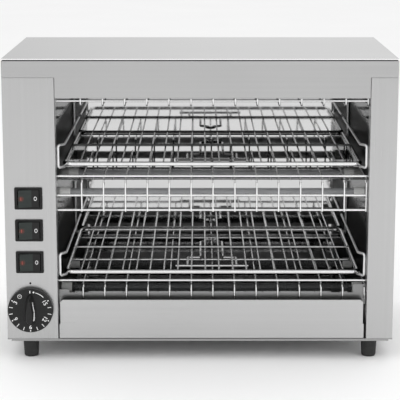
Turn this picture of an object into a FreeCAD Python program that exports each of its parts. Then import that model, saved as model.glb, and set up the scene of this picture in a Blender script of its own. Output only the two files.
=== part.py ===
import FreeCAD, Part

import math
import os
import re

import Sketcher
from FreeCAD import Placement, Rotation, Vector

# Quartz toaster oven with two pull-out racks, in millimetres.
# The origin is at the middle of the footprint, on the worktop.
# The front faces -Y, +X is to the right and +Z is up.

SIZES = {
    # Casing
    "body_wide": 445,
    "body_deep": 260,
    "body_tall": 325,
    "sheet_thick": 1,
    "seam_gap": 0.2,
    "lid_gap": 1.2,
    "lid_thick": 1.2,
    "rim_tall": 12,
    "band_drop": 21.1,
    "header_drop": 44.7,
    "header_return": 6,
    "left_pillar_wide": 59.1,
    "right_pillar_wide": 30.9,
    "pillar_return": 14,
    "rear_flange": 12,
    "base_lip": 3,
    "base_inset": 4,
    # Feet
    "foot_tall": 25,
    "foot_top_rad": 9.5,
    "foot_tip_rad": 8.2,
    "foot_side_inset": 25,
    "foot_front_inset": 21,
    "foot_back_inset": 30,
    "foot_bore_rad": 5,
    "foot_web": 9,
    "foot_chamfer": 1.5,
    "foot_shoulder": 4,
    "screw_rad": 2,
    "screw_play": 0.15,
    "head_rad": 3.8,
    "head_thick": 2.2,
    "screw_grip": 7,
    # Heating chamber
    "back_space": 15,
    "ceiling_drop": 28,
    "wall_gap": 0.3,
    # Crumb tray
    "tray_tall": 45.7,
    "tray_low_gap": 0.6,
    "tray_left_gap": 2.2,
    "tray_right_gap": 3.6,
    "tray_step": 1.1,
    "tray_step_tall": 17,
    "tray_corner": 3,
    "tray_return": 8,
    "pan_wall": 14,
    "pan_side_gap": 6,
    "pan_back_gap": 9,
    "pan_lift": 1.6,
    "runner_tall": 7,
    # Cross rail above the tray
    "rail_back": 12,
    "rail_low": 38,
    "rail_tall": 14,
    "rail_foot": 10,
    "rail_left_tab": 12,
    "rail_left_rise": 3.6,
    "rail_right_tab": 14.6,
    "rail_right_rise": 10,
    # Wire guards over the tubes
    "guard_front": 10,
    "guard_wire_rad": 1,
    "guard_rod_rad": 1.5,
    "guard_pitch": 25,
    "guard_left_gap": 28.3,
    "guard_right_gap": 1,
    "guard_bend": 4,
    "weld_deep": 0.25,
    "top_guard_drop": 54,
    "top_guard_rise": 15,
    "cage_drop": 138,
    "cage_tall": 38,
    "cage_mid_drop": 19.4,
    "cage_rear_gap": 39,
    "floor_guard_rise": 64.2,
    "floor_guard_leg": 18,
    "mid_rod_back": 118,
    "rod_step": 6,
    # Quartz tubes
    "tube_rad": 5,
    "tube_bore_rad": 4,
    "coil_rad": 3.2,
    "coil_bore_rad": 2.3,
    "front_tube_back": 54,
    "rear_tube_in": 69,
    "top_row_drop": 40,
    "middle_row_rise": 14,
    "low_row_rise": 48,
    "cap_rad": 6.5,
    "cap_in": 12,
    "cap_out": 7,
    "cap_seat": 9,
    "collar_rad": 9,
    "collar_thick": 2,
    "stud_rad": 1.6,
    "stud_long": 8,
    "fit_play": 0.1,
    "overrun": 1,
    # Pull-out racks
    "upper_rack_drop": 121.5,
    "lower_rack_rise": 76.7,
    "rack_rod_rad": 2.5,
    "rack_wire_rad": 1,
    "rack_cross_rad": 1.5,
    "rack_front": 16,
    "rack_side_gap": 8.5,
    "rack_rear_gap": 1,
    "rack_corner": 9,
    "rack_wire_pitch": 16,
    "rack_wire_margin": 5,
    "rack_cross_back": 112,
    # Grip forms welded under the racks
    "grip_rad": 1.5,
    "grip_rod_back": 35,
    "grip_rod_long": 85.6,
    "grip_leg_half": 28.9,
    "grip_step_back": 77,
    "grip_neck_half": 13.5,
    "grip_ring_back": 171,
    "grip_ring_rad": 5.5,
    "grip_neck_long": 12.1,
    "grip_bend": 3,
    "grip_pinch": 1.7,
    # Side guides of the racks
    "guide_rad": 1.5,
    "guide_gap": 0.3,
    "guide_front": 14,
    "guide_flare": 9,
    "guide_over": 21.5,
    "guide_rear_gap": 9,
    "guide_upright": 42,
    "guide_bend": 3,
    # Controls
    "control_inset": 27.7,
    "switch_rise": 92.1,
    "switch_pitch": 37.2,
    "bezel_wide": 31.8,
    "bezel_tall": 25.5,
    "bezel_thick": 1.8,
    "bezel_corner": 1.5,
    "window_wide": 25.4,
    "window_tall": 20.6,
    "window_deep": 11,
    "cut_wide": 29.6,
    "cut_tall": 22.4,
    "cut_play": 0.2,
    "switch_deep": 24,
    "spade_wide": 6.3,
    "spade_long": 8,
    "spade_thick": 0.8,
    "spade_count": 3,
    "spade_pitch": 9,
    "rocker_gap": 0.4,
    "rocker_pivot_in": 2,
    "rocker_proud": 4.4,
    "rocker_flat": 0.9,
    "rocker_valley": 3.6,
    "rocker_under": 5,
    "pivot_rad": 1.2,
    "pivot_in": 0.5,
    # Timer
    "timer_rise": 36.4,
    "timer_wide": 44,
    "timer_deep": 34,
    "shaft_rad": 3,
    "shaft_play": 0.05,
    "shaft_hole_rad": 4.5,
    "shaft_in": 12,
    "timer_screw_half": 14,
    "dial_rad": 26,
    "dial_gap": 1,
    "dial_thick": 7,
    "dial_skin": 2.4,
    "knob_reach": 21,
    "hub_long": 9,
    "grip_bar_half": 6.4,
    "grip_bar_tip": 3.4,
    "grip_bar_up": 20,
    "grip_bar_down": 16,
    "grip_bar_blunt": 3.2,
    "grip_bar_foot": 3.84,
    "hub_rad": 8,
    # Rear
    "vent_wide": 26,
    "vent_tall": 3,
    "vent_count": 8,
    "vent_pitch": 9,
    "vent_columns": 6,
    "vent_column_pitch": 48,
    "vent_left": 62,
    "vent_drop": 70,
    "gland_reach": 21,
    "gland_rad": 9,
    "gland_bore_rad": 4.5,
    "gland_thread_rad": 7.5,
    "gland_in": 14,
    "gland_nut_rad": 11,
    "gland_nut_thick": 5,
    "gland_inset": 32,
    "gland_rise": 32,
    "block_long": 40,
    "block_deep": 20,
    "block_tall": 17,
    "block_bore_rad": 2.2,
    "block_count": 3,
    "block_pitch": 12,
    "block_back": 40,
}

PLACES = {
    "front_face": "(knob_reach - gland_reach - body_deep) / 2",
    "back_face": "front_face + body_deep",
    "half_wide": "body_wide / 2",
    "body_top": "foot_tall + body_tall",
    "base_top": "foot_tall + sheet_thick",
    "lid_low": "body_top - lid_thick",
    "shell_top": "lid_low - lid_gap",
    "band_low": "body_top - band_drop",
    "header_low": "body_top - header_drop",
    "case_low": "base_top + seam_gap",
    "case_top": "band_low - seam_gap",
    "open_left": "left_pillar_wide - half_wide",
    "open_right": "half_wide - right_pillar_wide",
    "open_wide": "open_right - open_left",
    "open_mid": "(open_right + open_left) / 2",
    "panel_in": "front_face + sheet_thick",
    "back_in": "back_face - sheet_thick",
    "side_back": "back_in - seam_gap",
    "liner_front": "front_face + pillar_return + seam_gap",
    "liner_back": "back_face - back_space",
    "ceiling_up": "body_top - ceiling_drop",
    "liner_top": "ceiling_up + sheet_thick",
    "foot_bore_deep": "foot_tall - foot_web",
    "foot_x": "half_wide - foot_side_inset",
    "foot_front": "front_face + foot_front_inset",
    "foot_back": "back_face - foot_back_inset",
    "tray_low": "base_top + tray_low_gap",
    "tray_top": "tray_low + tray_tall",
    "tray_left": "open_left + tray_left_gap",
    "tray_right": "open_right - tray_right_gap",
    "pan_low": "base_top + pan_lift",
    "pan_left": "open_left + pan_side_gap",
    "pan_right": "open_right - pan_side_gap",
    "pan_back": "liner_back - pan_back_gap",
    "rail_face": "front_face + rail_back",
    "rail_bottom": "base_top + rail_low",
    "rail_top": "rail_bottom + rail_tall",
    "guard_y": "front_face + guard_front",
    "guard_x": "open_left + guard_left_gap",
    "guard_room": "open_wide - guard_left_gap - guard_right_gap",
    "guard_count": "floor(guard_room / guard_pitch) + 1",
    "guard_end": "liner_back - wall_gap",
    "wire_over_rod": "guard_wire_rad + guard_rod_rad - weld_deep",
    "top_guard_z": "body_top - top_guard_drop",
    "floor_guard_up": "foot_tall + floor_guard_rise",
    "cage_back": "liner_back - cage_rear_gap",
    "cage_top": "body_top - cage_drop",
    "cage_low": "cage_top - cage_tall",
    "front_tube_y": "front_face + front_tube_back",
    "rear_tube_y": "liner_back - rear_tube_in",
    "top_row_z": "body_top - top_row_drop",
    "middle_row_up": "cage_low + middle_row_rise",
    "low_row_up": "foot_tall + low_row_rise",
    "cap_left": "open_left - sheet_thick - cap_out",
    "cap_right": "open_right + sheet_thick + cap_out",
    "cap_long": "cap_in + sheet_thick + cap_out",
    "tube_left": "open_left + cap_in - cap_seat",
    "tube_right": "open_right - cap_in + cap_seat",
    "upper_rack_up": "body_top - upper_rack_drop",
    "lower_rack_up": "foot_tall + lower_rack_rise",
    "rack_y": "front_face + rack_front",
    "rack_back": "liner_back - rack_rear_gap - rack_rod_rad",
    "rack_deep": "rack_back - rack_y",
    "rack_half": "open_wide / 2 - rack_side_gap",
    "rack_wire_room": "rack_half - rack_wire_margin - rack_wire_pitch / 2",
    "rack_wire_count": "2 * floor(rack_wire_room / rack_wire_pitch) + 2",
    "guide_drop": "rack_rod_rad + guide_rad + guide_gap",
    "post_in": "guide_rad + wall_gap",
    "control_x": "control_inset - half_wide",
    "switch_low_up": "foot_tall + switch_rise",
    "timer_up": "foot_tall + timer_rise",
    "bezel_face": "front_face - bezel_thick",
    "pivot_y": "bezel_face + rocker_pivot_in",
    "rocker_rad": "window_wide / 2 - rocker_gap",
    "dial_back": "front_face - dial_gap",
    "dial_face": "dial_back - dial_thick",
    "knob_face": "front_face - knob_reach",
    "gland_x": "gland_inset - half_wide",
    "gland_up": "foot_tall + gland_rise",
}

document = FreeCAD.newDocument("toaster_oven")
dims = document.addObject("Spreadsheet::Sheet", "Dims")
places = document.addObject("Spreadsheet::Sheet", "Places")
spare = document.addObject("Spreadsheet::Sheet", "Spare")
known = {}
WORD = re.compile(r"[a-z_]+")
nodes = []


def bound(text):
    """The expression with each size's and place's name led by its sheet."""

    def owner(found):
        word = found.group(0)
        if word in SIZES:
            return "Dims." + word
        if word in PLACES:
            return "Places." + word
        return word

    return WORD.sub(owner, str(text))


def fill(sheet, rows, lead=""):
    """Write one named row for each size."""
    for row, (name, content) in enumerate(rows.items(), start=1):
        text = bound(content) if lead else str(content)
        sheet.set(f"A{row}", name)
        sheet.set(f"B{row}", lead + text)
        sheet.setAlias(f"B{row}", name)
    document.recompute()


fill(dims, SIZES)
fill(places, PLACES, lead="=")


def number(text):
    """The value of an expression, worked out in a spare cell."""
    if text not in known:
        spare.set("A1", "=" + bound(text))
        spare.recompute()
        known[text] = float(spare.get("A1"))
    return known[text]


def bind(item, **expressions):
    """Bind properties, with X, Y and Z standing for the placement."""
    for name, text in expressions.items():
        path = f"Placement.Base.{name.lower()}" if name in ("X", "Y", "Z") else name
        item.setExpression(path, bound(text))
    return item


def node(item, label):
    """Give a finished sub-part its label and list it for writing."""
    item.Label = label
    nodes.append(item)
    return item


# Primitives

TURNS = {
    "X": Rotation(Vector(0, 1, 0), 90),
    "Y": Rotation(Vector(1, 0, 0), -90),
    "Z": Rotation(),
}


def box(x, y, z, wide, deep, tall):
    """A block from its low corner and its three lengths."""
    item = document.addObject("Part::Box", "Block")
    return bind(item, X=x, Y=y, Z=z, Length=wide, Width=deep, Height=tall)


def rod(axis, x, y, z, radius, length):
    """A round bar that starts at a point and runs along one axis."""
    item = document.addObject("Part::Cylinder", "Rod")
    item.Placement = Placement(Vector(), TURNS[axis])
    return bind(item, X=x, Y=y, Z=z, Radius=radius, Height=length)


def hexagon(axis, x, y, z, radius, length):
    """A six-sided bar that starts at a point and runs along one axis."""
    item = document.addObject("Part::Prism", "Hexagon")
    item.Polygon = 6
    item.Placement = Placement(Vector(), TURNS[axis])
    return bind(item, X=x, Y=y, Z=z, Circumradius=radius, Height=length)


def join(items):
    """Several shapes as one."""
    item = document.addObject("Part::MultiFuse", "Joined")
    item.Shapes = items
    return item


def group(items):
    """Several separate solids in one shape."""
    item = document.addObject("Part::Compound", "Group")
    item.Links = items
    return item


def cut(base, tools):
    """A shape with others taken away."""
    item = document.addObject("Part::Cut", "Cut")
    item.Base = base
    item.Tool = tools[0] if len(tools) == 1 else join(tools)
    return item


# Sketched features


def new_body():
    return document.addObject("PartDesign::Body", "Piece")


def origin_feature(body, role):
    return next(f for f in body.Origin.OriginFeatures if f.Role == role)


def sketch_on(body, role, offset="0"):
    """An empty sketch on an origin plane, moved along the plane's normal."""
    sketch = body.newObject("Sketcher::SketchObject", "Outline")
    sketch.AttachmentSupport = (origin_feature(body, role), [""])
    sketch.MapMode = "FlatFace"
    sketch.setExpression("AttachmentOffset.Base.z", bound(offset))
    return sketch


def fix(sketch, kind, *target, to):
    """Add one dimension whose value is an expression."""
    index = sketch.addConstraint(Sketcher.Constraint(kind, *target, number(to)))
    sketch.setExpression(f"Constraints[{index}]", bound(to))


def polygon(sketch, corners):
    """A closed outline with straight sides, every corner placed."""
    points = [Vector(number(x), number(y), 0) for x, y in corners]
    first = sketch.GeometryCount
    count = len(points)
    for i in range(count):
        sketch.addGeometry(Part.LineSegment(points[i], points[(i + 1) % count]), False)
    for i in range(count):
        joint = (first + i, 2, first + (i + 1) % count, 1)
        sketch.addConstraint(Sketcher.Constraint("Coincident", *joint))
    for i, (x, y) in enumerate(corners):
        fix(sketch, "DistanceX", -1, 1, first + i, 1, to=x)
        fix(sketch, "DistanceY", -1, 1, first + i, 1, to=y)


def rectangle(sketch, x0, y0, x1, y1):
    polygon(sketch, [(x0, y0), (x1, y0), (x1, y1), (x0, y1)])


def circle(sketch, x, y, radius):
    centre = Vector(number(x), number(y), 0)
    ring = Part.Circle(centre, Vector(0, 0, 1), number(radius))
    index = sketch.addGeometry(ring, False)
    fix(sketch, "DistanceX", -1, 1, index, 3, to=x)
    fix(sketch, "DistanceY", -1, 1, index, 3, to=y)
    fix(sketch, "Radius", index, to=radius)


def pad(body, sketch, length, side="One side", back=False):
    item = body.newObject("PartDesign::Pad", "Pad")
    item.Profile = sketch
    item.SideType = side
    item.Reversed = back
    item.setExpression("Length", bound(length))
    return item


def pocket(body, sketch, length):
    """A cut that reaches half its length to each side of the sketch."""
    document.recompute()
    before = body.Shape.Volume
    item = body.newObject("PartDesign::Pocket", "Pocket")
    item.Profile = sketch
    item.SideType = "Symmetric"
    item.setExpression("Length", bound(length))
    document.recompute()
    if not body.Shape.Volume < before:
        raise RuntimeError("a pocket took nothing away")
    return item


def repeat(body, features, role, count, span):
    """Copies of features in a row along an origin axis."""
    item = body.newObject("PartDesign::LinearPattern", "Row")
    item.Originals = features
    item.Direction = (origin_feature(body, role), [""])
    item.setExpression("Length", bound(span))
    item.setExpression("Occurrences", bound(count))
    body.Tip = item
    document.recompute()
    return item


def turned(outline, x, y):
    """A body turned about a vertical axis, from half its outline."""
    body = new_body()
    sketch = sketch_on(body, "XZ_Plane")
    polygon(sketch, outline)
    item = body.newObject("PartDesign::Revolution", "Turned")
    item.Profile = sketch
    item.ReferenceAxis = (sketch, ["V_Axis"])
    item.Angle = 360
    bind(body, X=x, Y=y)
    return body


def bent_bar(corners, usual_bend, radius):
    """A round bar with a rounded bend at each corner, which may have its own radius."""
    points = [Vector(*(number(value) for value in corner[:3])) for corner in corners]
    bends = [number(corner[3] if len(corner) > 3 else usual_bend) for corner in corners]
    edges = []
    start = points[0]
    for before, corner, after, bend in zip(points, points[1:], points[2:], bends[1:]):
        arrive = (corner - before).normalize()
        leave = (after - corner).normalize()
        turn = arrive.getAngle(leave)
        back = bend * math.tan(turn / 2)
        entry = corner - arrive * back
        exit_point = corner + leave * back
        inward = (leave - arrive).normalize()
        reach = (back**2 + bend**2) ** 0.5 - bend
        edges.append(Part.makeLine(start, entry))
        edges.append(Part.Arc(entry, corner + inward * reach, exit_point).toShape())
        start = exit_point
    edges.append(Part.makeLine(start, points[-1]))
    path = Part.Wire(edges)
    ring = Part.makeCircle(number(radius), points[0], points[1] - points[0])
    item = document.addObject("Part::Feature", "Bent")
    item.Shape = path.makePipeShell([Part.Wire(ring)], True, True)
    return item


def box_between(x0, y0, z0, x1, y1, z1):
    """A block from its two opposite corners."""
    return box(x0, y0, z0, f"{x1} - ({x0})", f"{y1} - ({y0})", f"{z1} - ({z0})")


def mirrored(text, about="open_mid"):
    """The same distance on the other side of a plane."""
    return f"2 * {about} - ({text})"


# Spots that several sub-parts share

COVER_SCREW_Z = "lid_low - rim_tall / 2"
COVER_SCREW_XS = ["-half_wide / 2", "0", "half_wide / 2"]
SWITCH_ZS = [f"switch_low_up + {i} * switch_pitch" for i in range(3)]
TIMER_SCREW_SIDES = ["control_x - timer_screw_half", "control_x + timer_screw_half"]
BACK_SCREW_XS = ["rear_flange / 2 - half_wide", "half_wide - rear_flange / 2"]
BACK_SCREW_ZS = ["case_low + rear_flange * 2", "(case_low + case_top) / 2", "case_top - rear_flange * 2"]
FOOT_SPOTS = [(x, y) for x in ("-foot_x", "foot_x") for y in ("foot_front", "foot_back")]
TUBE_ROWS = {"top": "top_row_z", "middle": "middle_row_up", "bottom": "low_row_up"}
TUBE_YS = ["front_tube_y", "rear_tube_y"]

# Casing


def top_cover():
    plate = box("-half_wide", "front_face", "lid_low", "body_wide", "body_deep", "lid_thick")
    slack = "sheet_thick + seam_gap * 2"
    rim = cut(
        box_between(
            f"-half_wide + {slack}", f"front_face + {slack}", "lid_low - rim_tall",
            f"half_wide - ({slack})", f"back_face - ({slack})", "lid_low + weld_deep",
        ),
        [
            box_between(
                f"-half_wide + {slack} + sheet_thick",
                f"front_face + {slack} + sheet_thick",
                "lid_low - rim_tall * 2",
                f"half_wide - ({slack} + sheet_thick)",
                f"back_face - ({slack} + sheet_thick)",
                "lid_low + weld_deep * 2",
            )
        ],
    )
    screws = [
        rod("Y", x, "back_face - rim_tall", COVER_SCREW_Z, "screw_rad + screw_play", "rim_tall * 2")
        for x in COVER_SCREW_XS
    ]
    node(cut(join([plate, rim]), screws), "top_cover")


def header_panel():
    body = new_body()
    plan = sketch_on(body, "XY_Plane", "band_low")
    inner = "sheet_thick"
    polygon(
        plan,
        [
            ("-half_wide", "side_back"),
            ("-half_wide", "front_face"),
            ("half_wide", "front_face"),
            ("half_wide", "side_back"),
            (f"half_wide - {inner}", "side_back"),
            (f"half_wide - {inner}", "panel_in"),
            (f"{inner} - half_wide", "panel_in"),
            (f"{inner} - half_wide", "side_back"),
        ],
    )
    pad(body, plan, "shell_top - band_low")
    apron = sketch_on(body, "YZ_Plane", "open_left + seam_gap")
    polygon(
        apron,
        [
            ("front_face", "header_low"),
            ("front_face + header_return", "header_low"),
            ("front_face + header_return", "header_low + sheet_thick"),
            ("panel_in", "header_low + sheet_thick"),
            ("panel_in", "band_low + weld_deep"),
            ("front_face", "band_low + weld_deep"),
        ],
    )
    pad(body, apron, "open_wide - seam_gap * 2")
    node(body, "header_panel")


def side_case(label, outer, inner, inward, holes):
    """A folded column: rear flange, side wall, front pillar and return."""
    body = new_body()
    plan = sketch_on(body, "XY_Plane", "case_low")
    skin = f"{outer} + {inward} * sheet_thick"
    edge = f"{inner} - {inward} * sheet_thick"
    flange = f"{outer} + {inward} * rear_flange"
    polygon(
        plan,
        [
            (flange, "side_back"),
            (outer, "side_back"),
            (outer, "front_face"),
            (inner, "front_face"),
            (inner, "front_face + pillar_return"),
            (edge, "front_face + pillar_return"),
            (edge, "panel_in"),
            (skin, "panel_in"),
            (skin, "side_back - sheet_thick"),
            (flange, "side_back - sheet_thick"),
        ],
    )
    pad(body, plan, "case_top - case_low")
    if holes:
        face = sketch_on(body, "XZ_Plane", "-front_face")
        for up in SWITCH_ZS:
            rectangle(
                face,
                "control_x - cut_wide / 2", f"{up} - cut_tall / 2",
                "control_x + cut_wide / 2", f"{up} + cut_tall / 2",
            )
        circle(face, "control_x", "timer_up", "shaft_hole_rad")
        for side in TIMER_SCREW_SIDES:
            circle(face, side, "timer_up", "screw_rad + screw_play")
        pocket(body, face, "sheet_thick * 4")
    rear = sketch_on(body, "XZ_Plane", "-side_back")
    for up in BACK_SCREW_ZS:
        circle(rear, f"{outer} + {inward} * rear_flange / 2", up, "screw_rad + screw_play")
    pocket(body, rear, "sheet_thick * 4")
    node(body, label)


def back_panel():
    body = new_body()
    face = sketch_on(body, "XZ_Plane", "-back_face")
    rectangle(face, "-half_wide", "case_low", "half_wide", "shell_top")
    for up in BACK_SCREW_ZS:
        for x in BACK_SCREW_XS:
            circle(face, x, up, "screw_rad + screw_play")
    for x in COVER_SCREW_XS:
        circle(face, x, COVER_SCREW_Z, "screw_rad + screw_play")
    circle(face, "gland_x", "gland_up", "gland_thread_rad + screw_play")
    pad(body, face, "sheet_thick")
    slot = sketch_on(body, "XZ_Plane", "-back_face")
    low = "shell_top - vent_drop - (vent_count - 1) * vent_pitch"
    left = "vent_left - half_wide + (body_wide - 2 * vent_left"
    left += " - (vent_columns - 1) * vent_column_pitch - vent_wide) / 2"
    rectangle(slot, left, low, f"{left} + vent_wide", f"{low} + vent_tall")
    first = pocket(body, slot, "sheet_thick * 4")
    vents = repeat(body, [first], "Z_Axis", "vent_count", "(vent_count - 1) * vent_pitch")
    vents.Direction2 = (origin_feature(body, "X_Axis"), [""])
    vents.setExpression("Occurrences2", bound("vent_columns"))
    vents.setExpression("Length2", bound("(vent_columns - 1) * vent_column_pitch"))
    node(body, "back_panel")


def base_plate():
    body = new_body()
    face = sketch_on(body, "XY_Plane", "foot_tall")
    rectangle(face, "-half_wide", "front_face", "half_wide", "back_face")
    for x, y in FOOT_SPOTS:
        circle(face, x, y, "screw_rad + screw_play")
    pad(body, face, "sheet_thick")
    hem = sketch_on(body, "XY_Plane", "foot_tall + weld_deep")
    for inset in ("base_inset", "base_inset + sheet_thick"):
        rectangle(
            hem,
            f"{inset} - half_wide", f"front_face + {inset}",
            f"half_wide - ({inset})", f"back_face - ({inset})",
        )
    pad(body, hem, "base_lip + weld_deep", back=True)
    node(body, "base_plate")


def rubber_feet():
    feet = []
    for x, y in FOOT_SPOTS:
        outline = [
            ("screw_rad + screw_play", "foot_tall"),
            ("screw_rad + screw_play", "foot_bore_deep"),
            ("foot_bore_rad", "foot_bore_deep"),
            ("foot_bore_rad", "0"),
            ("foot_tip_rad - foot_chamfer", "0"),
            ("foot_tip_rad", "foot_chamfer"),
            ("foot_top_rad", "foot_tall - foot_shoulder"),
            ("foot_top_rad", "foot_tall"),
        ]
        feet.append(turned(outline, x, y))
    node(group(feet), "rubber_feet")


def screws(label, axis, spots, into):
    """Pan-head screws, each placed at the seat under its head."""
    items = []
    for spot in spots:
        shank_at = list(spot)
        head_at = list(spot)
        along = "XYZ".index(axis)
        if into > 0:
            head_at[along] = f"{spot[along]} - head_thick"
        else:
            shank_at[along] = f"{spot[along]} - screw_grip"
        shank = rod(axis, *shank_at, "screw_rad", "screw_grip")
        head = rod(axis, *head_at, "head_rad", "head_thick")
        items.append(join([shank, head]))
    node(group(items), label)


# Heating chamber


def liner_side(label, low_x):
    """One side wall, with a hole for each tube cap."""
    wall = box_between(
        low_x, "liner_front", "case_low",
        f"{low_x} + sheet_thick", "liner_back + sheet_thick", "liner_top",
    )
    holes = [
        rod("X", f"{low_x} - sheet_thick", y, z, "cap_rad + fit_play", "sheet_thick * 3")
        for z in TUBE_ROWS.values()
        for y in TUBE_YS
    ]
    node(cut(wall, holes), label)


def liner_back():
    wall = box_between(
        "open_left + seam_gap", "liner_back", "case_low",
        "open_right - seam_gap", "liner_back + sheet_thick", "ceiling_up - seam_gap",
    )
    node(wall, "liner_back")


def top_reflector():
    """The ceiling, folded down at the front to stand behind the header."""
    body = new_body()
    side = sketch_on(body, "YZ_Plane", "open_left + seam_gap")
    polygon(
        side,
        [
            ("liner_front", "ceiling_up - rear_flange"),
            ("liner_front + sheet_thick", "ceiling_up - rear_flange"),
            ("liner_front + sheet_thick", "ceiling_up"),
            ("liner_back + sheet_thick", "ceiling_up"),
            ("liner_back + sheet_thick", "liner_top"),
            ("liner_front", "liner_top"),
        ],
    )
    pad(body, side, "open_wide - seam_gap * 2")
    node(body, "top_reflector")


def cross_rail():
    """The strip above the tray, with a raised tab at each end and a foot."""
    body = new_body()
    face = sketch_on(body, "XZ_Plane", "-rail_face")
    left = "open_left + wall_gap"
    right = "open_right - wall_gap"
    polygon(
        face,
        [
            (left, "rail_bottom"),
            (right, "rail_bottom"),
            (right, "rail_top + rail_right_rise"),
            (f"{right} - rail_right_tab", "rail_top + rail_right_rise"),
            (f"{right} - rail_right_tab", "rail_top"),
            (f"{left} + rail_left_tab", "rail_top"),
            (f"{left} + rail_left_tab", "rail_top + rail_left_rise"),
            (left, "rail_top + rail_left_rise"),
        ],
    )
    pad(body, face, "sheet_thick", back=True)
    foot = sketch_on(body, "XY_Plane", "rail_bottom")
    rectangle(foot, left, "rail_face", right, "rail_face + rail_foot")
    pad(body, foot, "sheet_thick")
    node(body, "cross_rail")


def shifted(corner, way, by):
    """A corner moved along a level or upright way."""
    x, y = corner
    return f"{x} + {round(way.x)} * {by}", f"{y} + {round(way.y)} * {by}"


def bent_path(sketch, corners, bend, closed=False):
    """Level and upright runs joined by equal quarter bends."""
    count = len(corners)
    spans = count if closed else count - 1
    runs = []
    for i in range(spans):
        first, last = corners[i], corners[(i + 1) % count]
        way = Vector(number(last[0]) - number(first[0]), number(last[1]) - number(first[1]), 0)
        way = way.normalize()
        start = shifted(first, way, bend if closed or i > 0 else "0")
        end = shifted(last, way, f"-({bend})" if closed or i < spans - 1 else "0")
        points = [Vector(number(x), number(y), 0) for x, y in (start, end)]
        index = sketch.addGeometry(Part.LineSegment(*points), False)
        for place, spot in ((1, start), (2, end)):
            fix(sketch, "DistanceX", -1, 1, index, place, to=spot[0])
            fix(sketch, "DistanceY", -1, 1, index, place, to=spot[1])
        runs.append((index, points, way))
    radius = number(bend)
    for i in range(count if closed else spans - 1):
        index, points, arrive = runs[i]
        next_index, next_points, leave = runs[(i + 1) % spans]
        begin, end = points[1], next_points[0]
        middle = begin + leave * radius + (arrive - leave).normalize() * radius
        arc = sketch.addGeometry(Part.Arc(begin, middle, end), False)
        in_order = sketch.Geometry[arc].StartPoint.distanceToPoint(begin) < 0.001
        near, far = (1, 2) if in_order else (2, 1)
        sketch.addConstraint(Sketcher.Constraint("Coincident", index, 2, arc, near))
        sketch.addConstraint(Sketcher.Constraint("Coincident", arc, far, next_index, 1))
        fix(sketch, "Radius", arc, to=bend)


def piped(body, corners, bend, x, radius):
    """A bent wire that lies in one upright plane, from front to back."""
    path = sketch_on(body, "YZ_Plane", x)
    bent_path(path, corners, bend)
    ring = sketch_on(body, "XY_Plane", corners[0][1])
    circle(ring, x, corners[0][0], radius)
    item = body.newObject("PartDesign::AdditivePipe", "Wire")
    item.Profile = ring
    item.Spine = (path, [])
    return item


def bar_across(body, y, z, radius, x0, x1):
    """A straight rod welded across the wires."""
    ring = sketch_on(body, "YZ_Plane", x0)
    circle(ring, y, z, radius)
    return pad(body, ring, f"{x1} - ({x0})")


def guard(label, corners, bars):
    """Front-to-back wires over the tubes, on rods that span the chamber."""
    body = new_body()
    wire = piped(body, corners, "guard_bend", "guard_x", "guard_wire_rad")
    document.recompute()
    repeat(body, [wire], "X_Axis", "guard_count", "(guard_count - 1) * guard_pitch")
    for y, z in bars:
        bar_across(
            body, y, z, "guard_rod_rad", "open_left + wall_gap", "open_right - wall_gap"
        )
    node(body, label)


def guards():
    behind = "guard_y + wire_over_rod"
    guard(
        "top_guard",
        [
            ("guard_y", "top_guard_z + top_guard_rise"),
            ("guard_y", "top_guard_z"),
            ("guard_end", "top_guard_z"),
        ],
        [
            (behind, "top_guard_z + guard_bend + guard_rod_rad"),
            ("rear_tube_y", "top_guard_z + wire_over_rod"),
            ("guard_end - rod_step", "top_guard_z + wire_over_rod"),
        ],
    )
    guard(
        "middle_guard_cage",
        [
            ("guard_y", "cage_low"),
            ("guard_y", "cage_top"),
            ("cage_back", "cage_top"),
            ("cage_back", "cage_low"),
        ],
        [
            ("guard_y + rod_step", "cage_top + wire_over_rod"),
            (behind, "cage_top - cage_mid_drop"),
            (behind, "cage_low + guard_rod_rad"),
            ("cage_back - rod_step", "cage_top - wire_over_rod"),
            ("cage_back + wire_over_rod", "cage_low + guard_rod_rad"),
        ],
    )
    guard(
        "bottom_guard",
        [
            ("guard_y", "floor_guard_up - floor_guard_leg"),
            ("guard_y", "floor_guard_up"),
            ("guard_end", "floor_guard_up"),
        ],
        [
            ("guard_y + rod_step", "floor_guard_up + wire_over_rod"),
            ("front_face + mid_rod_back", "floor_guard_up + wire_over_rod"),
            ("guard_end - rod_step", "floor_guard_up + wire_over_rod"),
        ],
    )


def quartz_row(name, z):
    """Two tubes with their coils, ceramic caps and terminal studs."""
    tubes = []
    coils = []
    caps = []
    studs = []
    for y in TUBE_YS:
        long = "tube_right - (tube_left)"
        tubes.append(
            cut(
                rod("X", "tube_left", y, z, "tube_rad", long),
                [rod("X", "tube_left - overrun", y, z, "tube_bore_rad", f"{long} + overrun * 2")],
            )
        )
        coils.append(
            cut(
                rod("X", "tube_left", y, z, "coil_rad", long),
                [rod("X", "tube_left - overrun", y, z, "coil_bore_rad", f"{long} + overrun * 2")],
            )
        )
        ends = [("cap_left", 1), ("cap_right", -1)]
        for face, inward in ends:
            left = inward > 0
            start = face if left else f"{face} - cap_long"
            seat = "tube_left - seam_gap" if left else f"{start} - overrun"
            seat_long = "cap_seat + seam_gap + overrun"
            wall = "open_left - sheet_thick - wall_gap - collar_thick"
            if not left:
                wall = "open_right + sheet_thick + wall_gap"
            body = join(
                [
                    rod("X", start, y, z, "cap_rad", "cap_long"),
                    rod("X", wall, y, z, "collar_rad", "collar_thick"),
                ]
            )
            bore = rod("X", seat, y, z, "tube_rad + fit_play", seat_long)
            caps.append(cut(body, [bore]))
            stud_at = f"{face} - stud_long" if left else face
            studs.append(rod("X", stud_at, y, z, "stud_rad", "stud_long"))
    node(group(tubes), f"{name}_quartz_tubes")
    node(group(coils), f"{name}_heating_coils")
    node(group(caps), f"{name}_ceramic_caps")
    node(group(studs), f"{name}_terminal_studs")


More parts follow.
